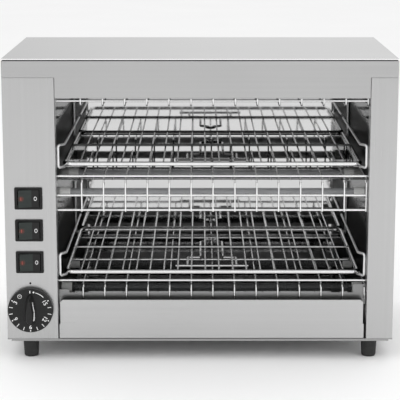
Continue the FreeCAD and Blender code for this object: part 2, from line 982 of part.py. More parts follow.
# Crumb tray


def tray_front():
    body = new_body()
    face = sketch_on(body, "XZ_Plane", "-front_face")
    step = "tray_low + tray_step_tall"
    polygon(
        face,
        [
            ("tray_left - tray_step", "tray_low"),
            ("tray_right + tray_step", "tray_low"),
            ("tray_right + tray_step", step),
            ("tray_right", step),
            ("tray_right", "tray_top - tray_corner"),
            ("tray_right - tray_corner", "tray_top"),
            ("tray_left + tray_corner", "tray_top"),
            ("tray_left", "tray_top - tray_corner"),
            ("tray_left", step),
            ("tray_left - tray_step", step),
        ],
    )
    pad(body, face, "sheet_thick", back=True)
    for low_x in ("tray_left", "tray_right - sheet_thick"):
        cheek = sketch_on(body, "YZ_Plane", low_x)
        rectangle(
            cheek,
            "panel_in - weld_deep", "tray_low",
            "panel_in + tray_return", "tray_top - tray_corner",
        )
        pad(body, cheek, "sheet_thick")
    node(body, "crumb_tray_front")


def tray_pan():
    """A shallow tray that slides between the runners."""
    front = "panel_in + tray_return + seam_gap"
    outer = box_between("pan_left", front, "pan_low", "pan_right", "pan_back", "pan_low + pan_wall")
    inner = box_between(
        "pan_left + sheet_thick", f"{front} + sheet_thick", "pan_low + sheet_thick",
        "pan_right - sheet_thick", "pan_back - sheet_thick", "pan_low + pan_wall * 2",
    )
    tongue = box_between(
        "tray_left + tray_return", "panel_in", "pan_low",
        "tray_right - tray_return", f"{front} + weld_deep", "pan_low + sheet_thick",
    )
    node(join([cut(outer, [inner]), tongue]), "crumb_tray_pan")


def tray_runners():
    """Two folded rails on the base plate, one beside each edge of the pan."""
    rails = []
    for low_x, wall_x in (
        ("open_left + wall_gap", "open_left + wall_gap"),
        ("pan_right + wall_gap * 2", "open_right - wall_gap - sheet_thick"),
    ):
        rails.append(
            join(
                [
                    box_between(
                        low_x, "liner_front + rear_flange", "base_top + fit_play",
                        f"{low_x} + pan_side_gap - wall_gap * 3", "pan_back",
                        "base_top + fit_play + sheet_thick",
                    ),
                    box_between(
                        wall_x, "liner_front + rear_flange", "base_top + fit_play",
                        f"{wall_x} + sheet_thick", "pan_back", "base_top + runner_tall",
                    ),
                ]
            )
        )
    node(group(rails), "tray_runners")


# Pull-out racks


def rack_grid(label, z):
    body = new_body()
    path = sketch_on(body, "XY_Plane", z)
    left, right = "open_mid - rack_half", "open_mid + rack_half"
    loop = [(left, "rack_y"), (right, "rack_y"), (right, "rack_back"), (left, "rack_back")]
    bent_path(path, loop, "rack_corner", closed=True)
    start = sketch_on(body, "YZ_Plane", "open_mid")
    circle(start, "rack_y", z, "rack_rod_rad")
    frame = body.newObject("PartDesign::AdditivePipe", "Frame")
    frame.Profile = start
    frame.Spine = (path, [])
    document.recompute()
    wire_z = f"{z} + rack_wire_rad"
    first = sketch_on(body, "XZ_Plane", "-rack_back")
    reach = "(rack_wire_count - 1) * rack_wire_pitch"
    circle(first, f"open_mid - {reach} / 2", wire_z, "rack_wire_rad")
    wire = pad(body, first, "rack_deep")
    repeat(body, [wire], "X_Axis", "rack_wire_count", reach)
    cross_z = f"{wire_z} + rack_wire_rad + rack_cross_rad - weld_deep"
    cross_y = "rack_y + rack_cross_back"
    bar_across(
        body, cross_y, cross_z, "rack_cross_rad",
        "open_mid - rack_half", "open_mid + rack_half",
    )
    node(body, label)


def rack_grip(label, rack_z):
    """The welded form that a pull handle hooks: a bar, a neck and a ring."""
    z = f"{rack_z} - grip_rad - fit_play"
    bar_y = "rack_y + grip_rod_back"
    step_y = "rack_y + grip_step_back"
    ring_y = "rack_y + grip_ring_back"
    left = [
        ("open_mid - grip_leg_half", bar_y, z),
        ("open_mid - grip_leg_half", step_y, z),
        ("open_mid - grip_neck_half", step_y, z),
        ("open_mid - grip_neck_half", f"{ring_y} - grip_neck_long", z),
    ]
    right = [(mirrored(x), y, z) for x, y, z in reversed(left)]
    ring = []
    sides = 8
    for i in range(sides):
        turn = math.radians(-90 - (i + 0.5) * 360 / sides)
        across = math.cos(turn) / math.cos(math.pi / sides)
        along = math.sin(turn) / math.cos(math.pi / sides)
        bend = "grip_pinch" if i in (0, sides - 1) else "grip_ring_rad - fit_play"
        x = f"open_mid + {across:.4f} * grip_ring_rad"
        y = f"{ring_y} + {along:.4f} * grip_ring_rad"
        ring.append((x, y, z, bend))
    bar = rod("X", "open_mid - grip_rod_long / 2", bar_y, z, "grip_rad", "grip_rod_long")
    form = bent_bar(left + ring + right, "grip_bend", "grip_rad")
    node(join([bar, form]), label)


def rack_guide(label, wall, inward, rack_z):
    """One wire: rear upright, lower rail, front post and upper rail."""
    post = f"{wall} + {inward} * post_in"
    rail = f"open_mid - {inward} * rack_half"
    low = f"{rack_z} - guide_drop"
    high = f"{rack_z} + guide_over"
    front = "front_face + guide_front"
    rear = "liner_back - post_in"
    corners = [
        (post, rear, f"{high} + guide_upright"),
        (post, rear, low),
        (rail, f"{rear} - guide_flare", low),
        (rail, f"{front} + guide_flare", low),
        (post, front, low),
        (post, front, high),
        (rail, f"{front} + guide_flare", high),
        (rail, f"{rear} - guide_rear_gap", high),
    ]
    node(bent_bar(corners, "guide_bend", "guide_rad"), label)


# Controls


def switch_body(label, z):
    """A snap-in housing behind a bezel, open at the front, with three spades."""
    body = new_body()
    front = sketch_on(body, "XZ_Plane", "-front_face")
    rectangle(
        front,
        "control_x - bezel_wide / 2", f"{z} - bezel_tall / 2",
        "control_x + bezel_wide / 2", f"{z} + bezel_tall / 2",
    )
    bezel = pad(body, front, "bezel_thick")
    document.recompute()
    corners = body.newObject("PartDesign::Fillet", "Corners")
    edges = [
        f"Edge{i}"
        for i, edge in enumerate(bezel.Shape.Edges, start=1)
        if abs(edge.tangentAt(edge.FirstParameter).y) > 0.9
    ]
    corners.Base = (bezel, edges)
    corners.setExpression("Radius", bound("bezel_corner"))
    case = sketch_on(body, "XZ_Plane", "-front_face")
    rectangle(
        case,
        "control_x - cut_wide / 2 + cut_play", f"{z} - cut_tall / 2 + cut_play",
        "control_x + cut_wide / 2 - cut_play", f"{z} + cut_tall / 2 - cut_play",
    )
    pad(body, case, "switch_deep", back=True)
    document.recompute()
    window = sketch_on(body, "XZ_Plane", "-bezel_face")
    rectangle(
        window,
        "control_x - window_wide / 2", f"{z} - window_tall / 2",
        "control_x + window_wide / 2", f"{z} + window_tall / 2",
    )
    pocket(body, window, "window_deep * 2")
    socket = sketch_on(body, "XY_Plane", z)
    circle(socket, "control_x", "pivot_y", "pivot_rad + shaft_play")
    pocket(body, socket, "window_tall + pivot_in * 2 + fit_play")
    spade = sketch_on(body, "XZ_Plane", "-(front_face + switch_deep)")
    left = "control_x - (spade_count - 1) / 2 * spade_pitch - spade_thick / 2"
    rectangle(
        spade,
        left, f"{z} - spade_wide / 2", f"{left} + spade_thick", f"{z} + spade_wide / 2",
    )
    first = pad(body, spade, "spade_long", back=True)
    repeat(body, [first], "X_Axis", "spade_count", "(spade_count - 1) * spade_pitch")
    node(body, label)


def rocker(label, z):
    """A rocker whose ends are round about its pivot, left end proud at rest."""
    body = new_body()
    low = f"{z} - window_tall / 2 + rocker_gap"
    plan = sketch_on(body, "XY_Plane", low)
    circle(plan, "control_x", "pivot_y", "rocker_rad")
    pad(body, plan, "window_tall - rocker_gap * 2")
    document.recompute()
    face = sketch_on(body, "XY_Plane", z)
    beyond = "rocker_rad * 2"
    slope = "(rocker_proud - rocker_flat) / (rocker_rad + rocker_valley)"
    flat = "bezel_face - rocker_flat"
    polygon(
        face,
        [
            (f"control_x + {beyond}", flat),
            ("control_x + rocker_valley", flat),
            (f"control_x - {beyond}", f"{flat} - {slope} * ({beyond} + rocker_valley)"),
            (f"control_x - {beyond}", f"{flat} - {beyond} * 2"),
            (f"control_x + {beyond}", f"{flat} - {beyond} * 2"),
        ],
    )
    pocket(body, face, "window_tall * 2")
    under = sketch_on(body, "XY_Plane", z)
    rectangle(
        under,
        f"control_x - {beyond}", "pivot_y + rocker_under",
        f"control_x + {beyond}", f"pivot_y + {beyond}",
    )
    pocket(body, under, "window_tall * 2")
    pin = sketch_on(body, "XY_Plane", z)
    circle(pin, "control_x", "pivot_y", "pivot_rad")
    pad(body, pin, "window_tall + pivot_in * 2", side="Symmetric")
    node(body, label)


# Timer


def timer():
    case = box_between(
        "control_x - timer_wide / 2", "panel_in + seam_gap / 2", "timer_up - timer_wide / 2",
        "control_x + timer_wide / 2", "panel_in + timer_deep", "timer_up + timer_wide / 2",
    )
    holes = [
        rod(
            "Y", "control_x", "panel_in - overrun", "timer_up",
            "shaft_rad + shaft_play", "shaft_in + overrun + fit_play * 2",
        ),
    ]
    for side in TIMER_SCREW_SIDES:
        hole = rod(
            "Y", side, "panel_in - overrun", "timer_up",
            "screw_rad + screw_play", "screw_grip + overrun * 2",
        )
        holes.append(hole)
    node(cut(case, holes), "timer_body")
    shaft = rod(
        "Y", "control_x", "dial_face - hub_long", "timer_up",
        "shaft_rad", "panel_in + shaft_in - (dial_face - hub_long)",
    )
    node(shaft, "timer_shaft")


def timer_knob():
    """A hollow dial with a tapered grip bar and a hub bored for the shaft."""
    disc = rod("Y", "control_x", "dial_face", "timer_up", "dial_rad", "dial_thick")
    hollow = rod(
        "Y", "control_x", "dial_face + dial_skin", "timer_up",
        "dial_rad - dial_skin", "dial_thick",
    )
    hub = rod(
        "Y", "control_x", "dial_face + dial_skin / 2", "timer_up",
        "hub_rad", "dial_thick - dial_skin / 2",
    )
    dial = join([cut(disc, [hollow]), hub])
    body = new_body()
    bar = sketch_on(body, "XZ_Plane", "-(dial_face + weld_deep)")
    polygon(
        bar,
        [
            ("control_x - grip_bar_half", "timer_up - grip_bar_down + grip_bar_blunt"),
            ("control_x - grip_bar_foot", "timer_up - grip_bar_down"),
            ("control_x + grip_bar_foot", "timer_up - grip_bar_down"),
            ("control_x + grip_bar_half", "timer_up - grip_bar_down + grip_bar_blunt"),
            ("control_x + grip_bar_half", "timer_up"),
            ("control_x + grip_bar_tip", "timer_up + grip_bar_up"),
            ("control_x - grip_bar_tip", "timer_up + grip_bar_up"),
            ("control_x - grip_bar_half", "timer_up"),
        ],
    )
    pad(body, bar, "dial_face - knob_face + weld_deep")
    bore = rod(
        "Y", "control_x", "dial_face - hub_long - fit_play", "timer_up",
        "shaft_rad + shaft_play", "dial_thick + hub_long + overrun",
    )
    node(cut(join([dial, body]), [bore]), "timer_knob")


# Supply


def cable_gland():
    """A dome gland through the back panel, its bore left open."""
    thread = rod(
        "Y", "gland_x", "back_in - gland_in", "gland_up",
        "gland_thread_rad", "gland_in + sheet_thick + overrun * 2",
    )
    collar = hexagon(
        "Y", "gland_x", "back_face + seam_gap / 2", "gland_up",
        "gland_nut_rad", "gland_nut_thick",
    )
    dome = rod(
        "Y", "gland_x", "back_face + overrun", "gland_up", "gland_rad", "gland_reach - overrun",
    )
    bore = rod(
        "Y", "gland_x", "back_in - gland_in - overrun", "gland_up",
        "gland_bore_rad", "gland_in + gland_reach + overrun * 3",
    )
    node(cut(join([thread, collar, dome]), [bore]), "cable_gland")
    nut = hexagon(
        "Y", "gland_x", "back_in - seam_gap / 2 - gland_nut_thick", "gland_up",
        "gland_nut_rad", "gland_nut_thick",
    )
    hole = rod(
        "Y", "gland_x", "back_in - gland_nut_thick * 2", "gland_up",
        "gland_thread_rad + shaft_play", "gland_nut_thick * 3",
    )
    node(cut(nut, [hole]), "gland_nut")


def terminal_block():
    """A three-way block on the base plate with a bore for each wire."""
    left = "gland_x - block_deep / 2"
    back = "back_in - block_back"
    block = box(left, f"{back} - block_long", "case_low", "block_deep", "block_long", "block_tall")
    bores = [
        rod(
            "X", f"{left} - overrun",
            f"{back} - block_long / 2 + ({i} - (block_count - 1) / 2) * block_pitch",
            "case_low + block_tall / 2", "block_bore_rad", "block_deep + overrun * 2",
        )
        for i in range(round(number("block_count")))
    ]
    node(cut(block, bores), "terminal_block")


top_cover()
header_panel()
side_case("left_side_case", "-half_wide", "open_left", 1, holes=True)
side_case("right_side_case", "half_wide", "open_right", -1, holes=False)
back_panel()
base_plate()
rubber_feet()
liner_side("liner_left", "open_left - sheet_thick")
liner_side("liner_right", "open_right")
liner_back()
top_reflector()
cross_rail()
guards()
for row_name, row_z in TUBE_ROWS.items():
    quartz_row(row_name, row_z)
tray_front()
tray_pan()
tray_runners()
for name, z in {"upper": "upper_rack_up", "lower": "lower_rack_up"}.items():
    rack_grid(f"{name}_rack_grid", z)
    rack_grip(f"{name}_rack_grip", z)
    rack_guide(f"{name}_left_guide", "open_left", "1", z)
    rack_guide(f"{name}_right_guide", "open_right", "-1", z)
for name, z in zip(("bottom", "middle", "top"), SWITCH_ZS):
    switch_body(f"{name}_switch_body", z)
    rocker(f"{name}_rocker", z)
timer()
timer_knob()
cable_gland()
terminal_block()
screws("timer_screws", "Y", [(x, "front_face", "timer_up") for x in TIMER_SCREW_SIDES], 1)
screws("foot_screws", "Z", [(x, y, "foot_bore_deep") for x, y in FOOT_SPOTS], 1)
screws(
    "back_screws", "Y",
    [(x, "back_face", z) for x in BACK_SCREW_XS for z in BACK_SCREW_ZS]
    + [(x, "back_face", COVER_SCREW_Z) for x in COVER_SCREW_XS], -1,
)

document.recompute()
for item in document.Objects:
    bad = [state for state in item.State if state in ("Invalid", "Error")]
    if bad:
        raise RuntimeError(f"{item.Label} ({item.TypeId}) is {bad}")
os.makedirs("parts", exist_ok=True)
for item in nodes:
    shape = item.Shape
    if shape.isNull() or not shape.isValid():
        raise RuntimeError(f"{item.Label} has no valid shape")
for item in nodes:
    item.Shape.exportStep(f"parts/{item.Label}.step")
print(len(nodes), "sub-parts")
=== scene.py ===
import math

import bmesh
import bpy
from mathutils import Matrix, Vector
from mathutils.bvhtree import BVHTree


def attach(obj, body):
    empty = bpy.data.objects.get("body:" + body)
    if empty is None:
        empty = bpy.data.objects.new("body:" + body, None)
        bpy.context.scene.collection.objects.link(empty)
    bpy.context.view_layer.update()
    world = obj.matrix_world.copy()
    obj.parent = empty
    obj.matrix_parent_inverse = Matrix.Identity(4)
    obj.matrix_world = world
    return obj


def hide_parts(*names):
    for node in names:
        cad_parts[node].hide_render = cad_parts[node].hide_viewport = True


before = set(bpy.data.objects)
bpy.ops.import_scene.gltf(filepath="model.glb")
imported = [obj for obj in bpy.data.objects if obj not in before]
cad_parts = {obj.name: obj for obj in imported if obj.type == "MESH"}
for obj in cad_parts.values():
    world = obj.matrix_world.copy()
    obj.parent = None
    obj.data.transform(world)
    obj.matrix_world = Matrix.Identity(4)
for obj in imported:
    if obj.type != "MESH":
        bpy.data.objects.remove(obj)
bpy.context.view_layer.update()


# Base plate
# A folded sheet of satin stainless steel with a hem all round, which carries the feet and both side cases.
# It is cut and folded from 1 mm sheet, so every edge has a small break and the rolled grain shows.

MM = 0.001
WELD = 0.001 * MM
FOLD_RADIUS = 1.3 * MM
EDGE_BREAK = 0.25 * MM
SHARP_ANGLE = math.radians(32)
FLAT_ANGLE = math.radians(1)
FINE_GRAIN = 2600.0
FINE_GRAIN_ALONG = 14.0
STREAKS = 260.0
STREAKS_ALONG = 2.5
CLOUDS = 7.0


class Value:
    """One value in a finish. Python's operators on it add the Math nodes."""

    def __init__(self, finish, socket):
        self.finish = finish
        self.socket = socket

    def maths(self, operation, *others):
        values = dict(enumerate((self, *others)))
        return self.finish.add("ShaderNodeMath", {"operation": operation}, values)

    def __add__(self, other):
        return self.maths("ADD", other)

    __radd__ = __add__

    def __sub__(self, other):
        return self.maths("SUBTRACT", other)

    def __rsub__(self, other):
        return (self * -1) + other

    def __mul__(self, other):
        return self.maths("MULTIPLY", other)

    __rmul__ = __mul__

    def __gt__(self, other):
        return self.maths("GREATER_THAN", other)

class Finish:
    """A surface finish. Values that are the same all over are set on the shader itself."""

    def __init__(self, name, **fixed):
        self.material = bpy.data.materials.new(name)
        self.material.use_nodes = True
        self.nodes = self.material.node_tree.nodes
        self.links = self.material.node_tree.links
        self.shader = self.nodes["Principled BSDF"]
        for key, value in fixed.items():
            self.shader.inputs[key.replace("_", " ")].default_value = value

    def add(self, kind, settings=None, inputs=None, output=0):
        """Any node, with its settings made before the values or links of its sockets."""
        made = self.nodes.new(kind)
        for key, value in (settings or {}).items():
            if key == "stops":
                elements = made.color_ramp.elements
                for place, _ in value[2:]:
                    elements.new(place)
                for stop, (place, colour) in zip(elements, value):
                    stop.position = place
                    stop.color = colour
            else:
                setattr(made, key, value)
        for key, value in (inputs or {}).items():
            self.feed(made.inputs[key], value)
        return Value(self, made.outputs[output])

    def feed(self, socket, value):
        if isinstance(value, Value):
            self.links.new(value.socket, socket)
        else:
            socket.default_value = value

    def vary(self, **inputs):
        """Feed the shader's own sockets with what changes over the surface."""
        for key, value in inputs.items():
            self.feed(self.shader.inputs[key.replace("_", " ")], value)

    def noise(self, stretch, detail=2.0, roughness=0.5):
        """Noise on the object's own coordinates, so many to a metre along each axis."""
        place = self.add("ShaderNodeTexCoord", output="Object")
        scaled = self.add("ShaderNodeMapping", {}, {"Vector": place, "Scale": stretch})
        values = {"Vector": scaled, "Scale": 1.0, "Detail": detail, "Roughness": roughness}
        return self.add("ShaderNodeTexNoise", {}, values)

    def mix(self, share, low, high):
        """Two colours mixed by a share from 0 to 1."""
        settings = {"data_type": "RGBA", "clamp_factor": True}
        return self.add("ShaderNodeMix", settings, {0: share, 6: low, 7: high}, output=2)

    def relief(self, height, strength, depth):
        """A fine relief on the surface, its depth in metres."""
        values = {"Height": height, "Strength": strength, "Distance": depth}
        self.vary(Normal=self.add("ShaderNodeBump", {}, values))


def grey(level, warm=0.0):
    """An opaque grey, a little warm or cool."""
    return (level * (1 + warm), level, level * (1 - warm), 1.0)


def satin_steel(name, along, level, roughness=0.3):
    """Satin stainless steel, ground along one axis."""
    finish = Finish(name, Metallic=1.0)
    fine = [FINE_GRAIN] * 3
    broad = [STREAKS] * 3
    fine["XYZ".index(along)] = FINE_GRAIN_ALONG
    broad["XYZ".index(along)] = STREAKS_ALONG
    grain = finish.noise(fine)
    streak = finish.noise(broad, detail=1.0)
    patch = finish.noise([CLOUDS] * 3, detail=1.0)
    tone = grain * 0.25 + streak * 0.35 + patch * 0.4
    finish.vary(
        Base_Color=finish.mix(tone, grey(level * 0.88), grey(level * 1.1)),
        Roughness=grain * 0.1 + patch * 0.08 + (roughness - 0.09),
    )
    finish.relief(grain + streak, 0.12, 0.02 * MM)
    return finish


def made(name, mesh, finish):
    """An object at the origin from a finished mesh."""
    data = bpy.data.meshes.new(name)
    mesh.to_mesh(data)
    mesh.free()
    data.materials.append(finish.material)
    piece = bpy.data.objects.new(name, data)
    bpy.context.scene.collection.objects.link(piece)
    return piece


def corner_edges(mesh, place):
    """The edges that lie on a fold, whose place is given on two axes in metres."""

    def lies(vertex):
        return all(abs(vertex.co["xyz".index(axis)] - at) < 0.05 * MM for axis, at in place.items())

    return [edge for edge in mesh.edges if all(lies(vertex) for vertex in edge.verts)]


def dressed(node, body, finish, folds=(), edge=EDGE_BREAK, steps=2):
    """A copy of a CAD part with its folds rounded and its edges broken, in its place."""
    mesh = bmesh.new()
    mesh.from_mesh(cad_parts[node].data)
    bmesh.ops.remove_doubles(mesh, verts=mesh.verts, dist=WELD)
    bmesh.ops.dissolve_limit(mesh, angle_limit=FLAT_ANGLE, verts=mesh.verts, edges=mesh.edges)
    for place in folds:
        bmesh.ops.bevel(
            mesh, geom=corner_edges(mesh, place), offset=FOLD_RADIUS, segments=5,
            profile=0.5, affect="EDGES", clamp_overlap=True,
        )
    for face in mesh.faces:
        face.smooth = True
    piece = made(node + "_part", mesh, finish)
    soft = piece.modifiers.new("broken_edges", "BEVEL")
    soft.width = edge
    soft.segments = steps
    soft.limit_method = "ANGLE"
    soft.angle_limit = SHARP_ANGLE
    level = piece.modifiers.new("level_faces", "WEIGHTED_NORMAL")
    level.mode = "FACE_AREA"
    level.weight = 100
    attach(piece, body)
    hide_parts(node)
    return piece


# The base plate's steel is painted darker than the other sheets, as painted shade on its low, downward-facing
# edge.
shaded_base_steel = satin_steel("steel_base_painted_shade", "X", 0.36)
dressed("base_plate", "housing", shaded_base_steel)


# Side cases
# Two folded satin steel covers, whose front ends are the control pillar on the left and a plain pillar.
# Their grain runs upwards, and they are screwed to the back panel and hooked behind the header.

SIDE = 222.5 * MM
FRONT = -130 * MM
OPENING_LEFT = -163.4 * MM
OPENING_RIGHT = 191.6 * MM

steel_upright = satin_steel("steel_ground_upright", "Z", 0.5)
dressed(
    "left_side_case", "housing", steel_upright,
    folds=[{"x": -SIDE, "y": FRONT}, {"x": OPENING_LEFT, "y": FRONT}],
)
dressed(
    "right_side_case", "housing", steel_upright,
    folds=[{"x": SIDE, "y": FRONT}, {"x": OPENING_RIGHT, "y": FRONT}],
)


# Back panel
# A flat satin steel sheet with six columns of punched vents over the wiring space.
# It is held by pan-head screws round its edge, and its grain runs upwards like the side cases'.

dressed("back_panel", "housing", steel_upright, edge=0.2 * MM)


# Header panel
# The folded band over the opening, in one piece with its side returns, ground from end to end.
# It is painted a shade darker than the pillars, as painted shade for how its crosswise grain reflects the
# light.

HEADER_LOW = 305.3 * MM

steel_header = satin_steel("steel_header", "X", 0.47, roughness=0.34)
dressed(
    "header_panel", "housing", steel_header,
    folds=[{"x": -SIDE, "y": FRONT}, {"x": SIDE, "y": FRONT}, {"y": FRONT, "z": HEADER_LOW}],
)


# Top cover
# A flat lid of thicker steel with a polished edge, which is also painted bright as a highlight, welded to a
# locating rim.
# The lid stands a little above the header, and the rim is painted near black as the shade in that gap, so
# that it shows as a dark line.

LID_LOW = 348.8 * MM
LID_EDGE_FINISH = 1
SHADED_RIM_FINISH = 2

steel_lid = satin_steel("steel_lid", "X", 0.5)
lid_edge_highlight = satin_steel("steel_lid_edge", "X", 0.96, roughness=0.22)
shaded_rim_steel = satin_steel("steel_rim_painted_shade", "X", 0.03, roughness=0.5)
lid = dressed("top_cover", "housing", steel_lid, edge=0.4 * MM, steps=3)
lid.data.materials.append(lid_edge_highlight.material)
lid.data.materials.append(shaded_rim_steel.material)
# The rim's faces get near-black steel as painted shade, and the lid's side faces get the bright edge as a
# painted highlight.
for face in lid.data.polygons:
    if face.center.z < LID_LOW:
        face.material_index = SHADED_RIM_FINISH
    elif abs(face.normal.z) < 0.5:
        face.material_index = LID_EDGE_FINISH


# Screws
# Zinc plated pan-head screws with a cross recess, pressed from wire and turned into the sheets.
# Nine hold the back panel, three of them through the rim of the lid, and one holds each foot.

HEAD_RADIUS = 3.8 * MM
HEAD_TALL = 2.2 * MM
SHANK_RADIUS = 2 * MM
SHANK_LONG = 7 * MM
CROSS_WIDE = 0.95 * MM
CROSS_LONG = 4.4 * MM
CROSS_TALL = 2.6 * MM
BACK = 130 * MM
BACK_SCREW_X = 216.5 * MM
BACK_SCREW_HEIGHTS = (50.2 * MM, 177.45 * MM, 304.7 * MM)
LID_SCREW_X = 111.25 * MM
LID_SCREW_HEIGHT = 342.8 * MM
FOOT_X = 197.5 * MM
FOOT_YS = (-109 * MM, 100 * MM)
FOOT_SEAT = 16 * MM


def turned(outline, steps=48):
    """A solid turned about Z from radius and height pairs that start and end on the axis."""
    mesh = bmesh.new()
    rings = []
    for radius, height in outline:
        turns = 1 if radius == 0 else steps
        rings.append([
            mesh.verts.new((
                radius * math.cos(math.tau * i / steps),
                radius * math.sin(math.tau * i / steps),
                height,
            ))
            for i in range(turns)
        ])
    for low, high in zip(rings, rings[1:]):
        for i in range(steps):
            corners = [low[i % len(low)], low[(i + 1) % len(low)]]
            corners += [high[(i + 1) % len(high)], high[i % len(high)]]
            corners = list(dict.fromkeys(corners))
            if len(corners) > 2:
                mesh.faces.new(corners)
    bmesh.ops.recalc_face_normals(mesh, faces=mesh.faces)
    for face in mesh.faces:
        face.smooth = True
    return mesh


def block(wide, deep, tall, centre):
    """A plain block as a mesh, used to cut."""
    mesh = bmesh.new()
    bmesh.ops.create_cube(mesh, size=1.0)
    bmesh.ops.scale(mesh, vec=(wide, deep, tall), verts=mesh.verts)
    bmesh.ops.translate(mesh, vec=centre, verts=mesh.verts)
    return mesh


def carved(piece, cutters):
    """The piece with the cutters' shapes taken out of it."""
    for cutter in cutters:
        gap = piece.modifiers.new("recess", "BOOLEAN")
        gap.operation = "DIFFERENCE"
        gap.solver = "EXACT"
        gap.object = cutter
    result = settled(piece)
    for cutter in cutters:
        bpy.data.objects.remove(cutter)
    return result


def settled(piece):
    """The piece with its modifiers turned into plain mesh."""
    bpy.context.view_layer.update()
    seen = piece.evaluated_get(bpy.context.evaluated_depsgraph_get())
    plain = bpy.data.meshes.new_from_object(seen)
    piece.modifiers.clear()
    piece.data = plain
    return piece


def set_out_tree():
    """Puts one shape at every point of a mesh, turned the same way."""
    tree = bpy.data.node_groups.new("set_out", "GeometryNodeTree")
    inlet = tree.interface.new_socket
    inlet("Points", in_out="INPUT", socket_type="NodeSocketGeometry")
    inlet("Shape", in_out="INPUT", socket_type="NodeSocketObject")
    inlet("Turn", in_out="INPUT", socket_type="NodeSocketRotation")
    inlet("Finish", in_out="INPUT", socket_type="NodeSocketMaterial")
    inlet("Pieces", in_out="OUTPUT", socket_type="NodeSocketGeometry")
    start = tree.nodes.new("NodeGroupInput")
    shape = tree.nodes.new("GeometryNodeObjectInfo")
    copies = tree.nodes.new("GeometryNodeInstanceOnPoints")
    real = tree.nodes.new("GeometryNodeRealizeInstances")
    coat = tree.nodes.new("GeometryNodeSetMaterial")
    end = tree.nodes.new("NodeGroupOutput")
    link = tree.links.new
    link(start.outputs["Points"], copies.inputs["Points"])
    link(start.outputs["Shape"], shape.inputs["Object"])
    link(shape.outputs["Geometry"], copies.inputs["Instance"])
    link(start.outputs["Turn"], copies.inputs["Rotation"])
    link(copies.outputs["Instances"], real.inputs["Geometry"])
    link(real.outputs["Geometry"], coat.inputs["Geometry"])
    link(start.outputs["Finish"], coat.inputs["Material"])
    link(coat.outputs["Geometry"], end.inputs["Pieces"])
    return tree


def shaped_by(name, tree, spots, inputs):
    """The plain mesh that a tree of Geometry Nodes makes on a set of points."""
    points = bmesh.new()
    for spot in spots:
        points.verts.new(spot)
    data = bpy.data.meshes.new(name)
    points.to_mesh(data)
    points.free()
    piece = bpy.data.objects.new(name, data)
    bpy.context.scene.collection.objects.link(piece)
    maker = piece.modifiers.new("maker", "NODES")
    maker.node_group = tree
    names = {item.name: item.identifier for item in tree.interface.items_tree}
    for key, value in inputs.items():
        maker[names[key]] = value
    return settled(piece)


zinc = Finish("zinc_plate", Metallic=1.0)
zinc_cloud = zinc.noise((90.0, 90.0, 90.0))
zinc.vary(
    Base_Color=zinc.mix(zinc_cloud, (0.52, 0.53, 0.55, 1), (0.68, 0.69, 0.7, 1)),
    Roughness=zinc_cloud * 0.2 + 0.22,
)

head_outline = [(0, -SHANK_LONG), (SHANK_RADIUS * 0.8, -SHANK_LONG), (SHANK_RADIUS, -SHANK_LONG * 0.92)]
head_outline += [(SHANK_RADIUS, 0), (HEAD_RADIUS * 0.96, 0), (HEAD_RADIUS, HEAD_TALL * 0.08)]
head_outline += [
    (HEAD_RADIUS * math.cos(bend) ** 0.6, HEAD_TALL * (0.3 + 0.7 * math.sin(bend)))
    for bend in (math.radians(15 * i) for i in range(6))
]
head_outline.append((0, HEAD_TALL))
screw_shape = made("screw_shape", turned(head_outline, steps=32), zinc)
head_top = (0, 0, HEAD_TALL)
screw_shape = carved(screw_shape, [
    made("cross_a", block(CROSS_WIDE, CROSS_LONG, CROSS_TALL, head_top), zinc),
    made("cross_b", block(CROSS_LONG, CROSS_WIDE, CROSS_TALL, head_top), zinc),
])

set_out = set_out_tree()
back_spots = [(x, BACK, z) for x in (-BACK_SCREW_X, BACK_SCREW_X) for z in BACK_SCREW_HEIGHTS]
back_spots += [(x, BACK, LID_SCREW_HEIGHT) for x in (-LID_SCREW_X, 0, LID_SCREW_X)]
back_screws = shaped_by(
    "back_panel_screws", set_out, back_spots,
    {"Shape": screw_shape, "Turn": (math.radians(-90), 0, 0), "Finish": zinc.material},
)
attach(back_screws, "housing")
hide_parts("back_screws")

foot_screws = shaped_by(
    "foot_fixing_screws", set_out, [(x, y, FOOT_SEAT) for x in (-FOOT_X, FOOT_X) for y in FOOT_YS],
    {"Shape": screw_shape, "Turn": (math.radians(180), 0, 0), "Finish": zinc.material},
)
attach(foot_screws, "housing")
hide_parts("foot_screws")
bpy.data.objects.remove(screw_shape)


# Rubber feet
# Four moulded black rubber feet, tapered towards the worktop, with a rounded tip.
# Each has a deep seat from below for the screw that holds it to the base plate.

FOOT_OUTLINE = [
    (2.15, 25), (9.3, 25), (9.5, 24.7), (9.5, 21.2), (9.3, 20.3), (8.35, 2.2), (8.1, 1.0), (7.5, 0.3),
    (6.7, 0), (5.3, 0), (5.0, 0.3), (5.0, 16), (2.15, 16), (2.15, 25),
]

rubber = Finish("foot_rubber", Specular_IOR_Level=0.25)
rubber_grain = rubber.noise((900.0, 900.0, 900.0))
rubber_dust = rubber.noise((60.0, 60.0, 160.0))
rubber.vary(
    Base_Color=rubber.mix(rubber_dust, grey(0.018), grey(0.04)),
    Roughness=rubber_grain * 0.15 + 0.55,
)
rubber.relief(rubber_grain, 0.3, 0.06 * MM)

foot_mesh = turned([(radius * MM, height * MM) for radius, height in FOOT_OUTLINE])
bmesh.ops.remove_doubles(foot_mesh, verts=foot_mesh.verts, dist=WELD)
bmesh.ops.recalc_face_normals(foot_mesh, faces=foot_mesh.faces)
foot_shape = made("foot_shape", foot_mesh, rubber)
feet = shaped_by(
    "rubber_feet_part", set_out, [(x, y, 0) for x in (-FOOT_X, FOOT_X) for y in FOOT_YS],
    {"Shape": foot_shape, "Finish": rubber.material},
)
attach(feet, "housing")
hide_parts("rubber_feet")
bpy.data.objects.remove(foot_shape)


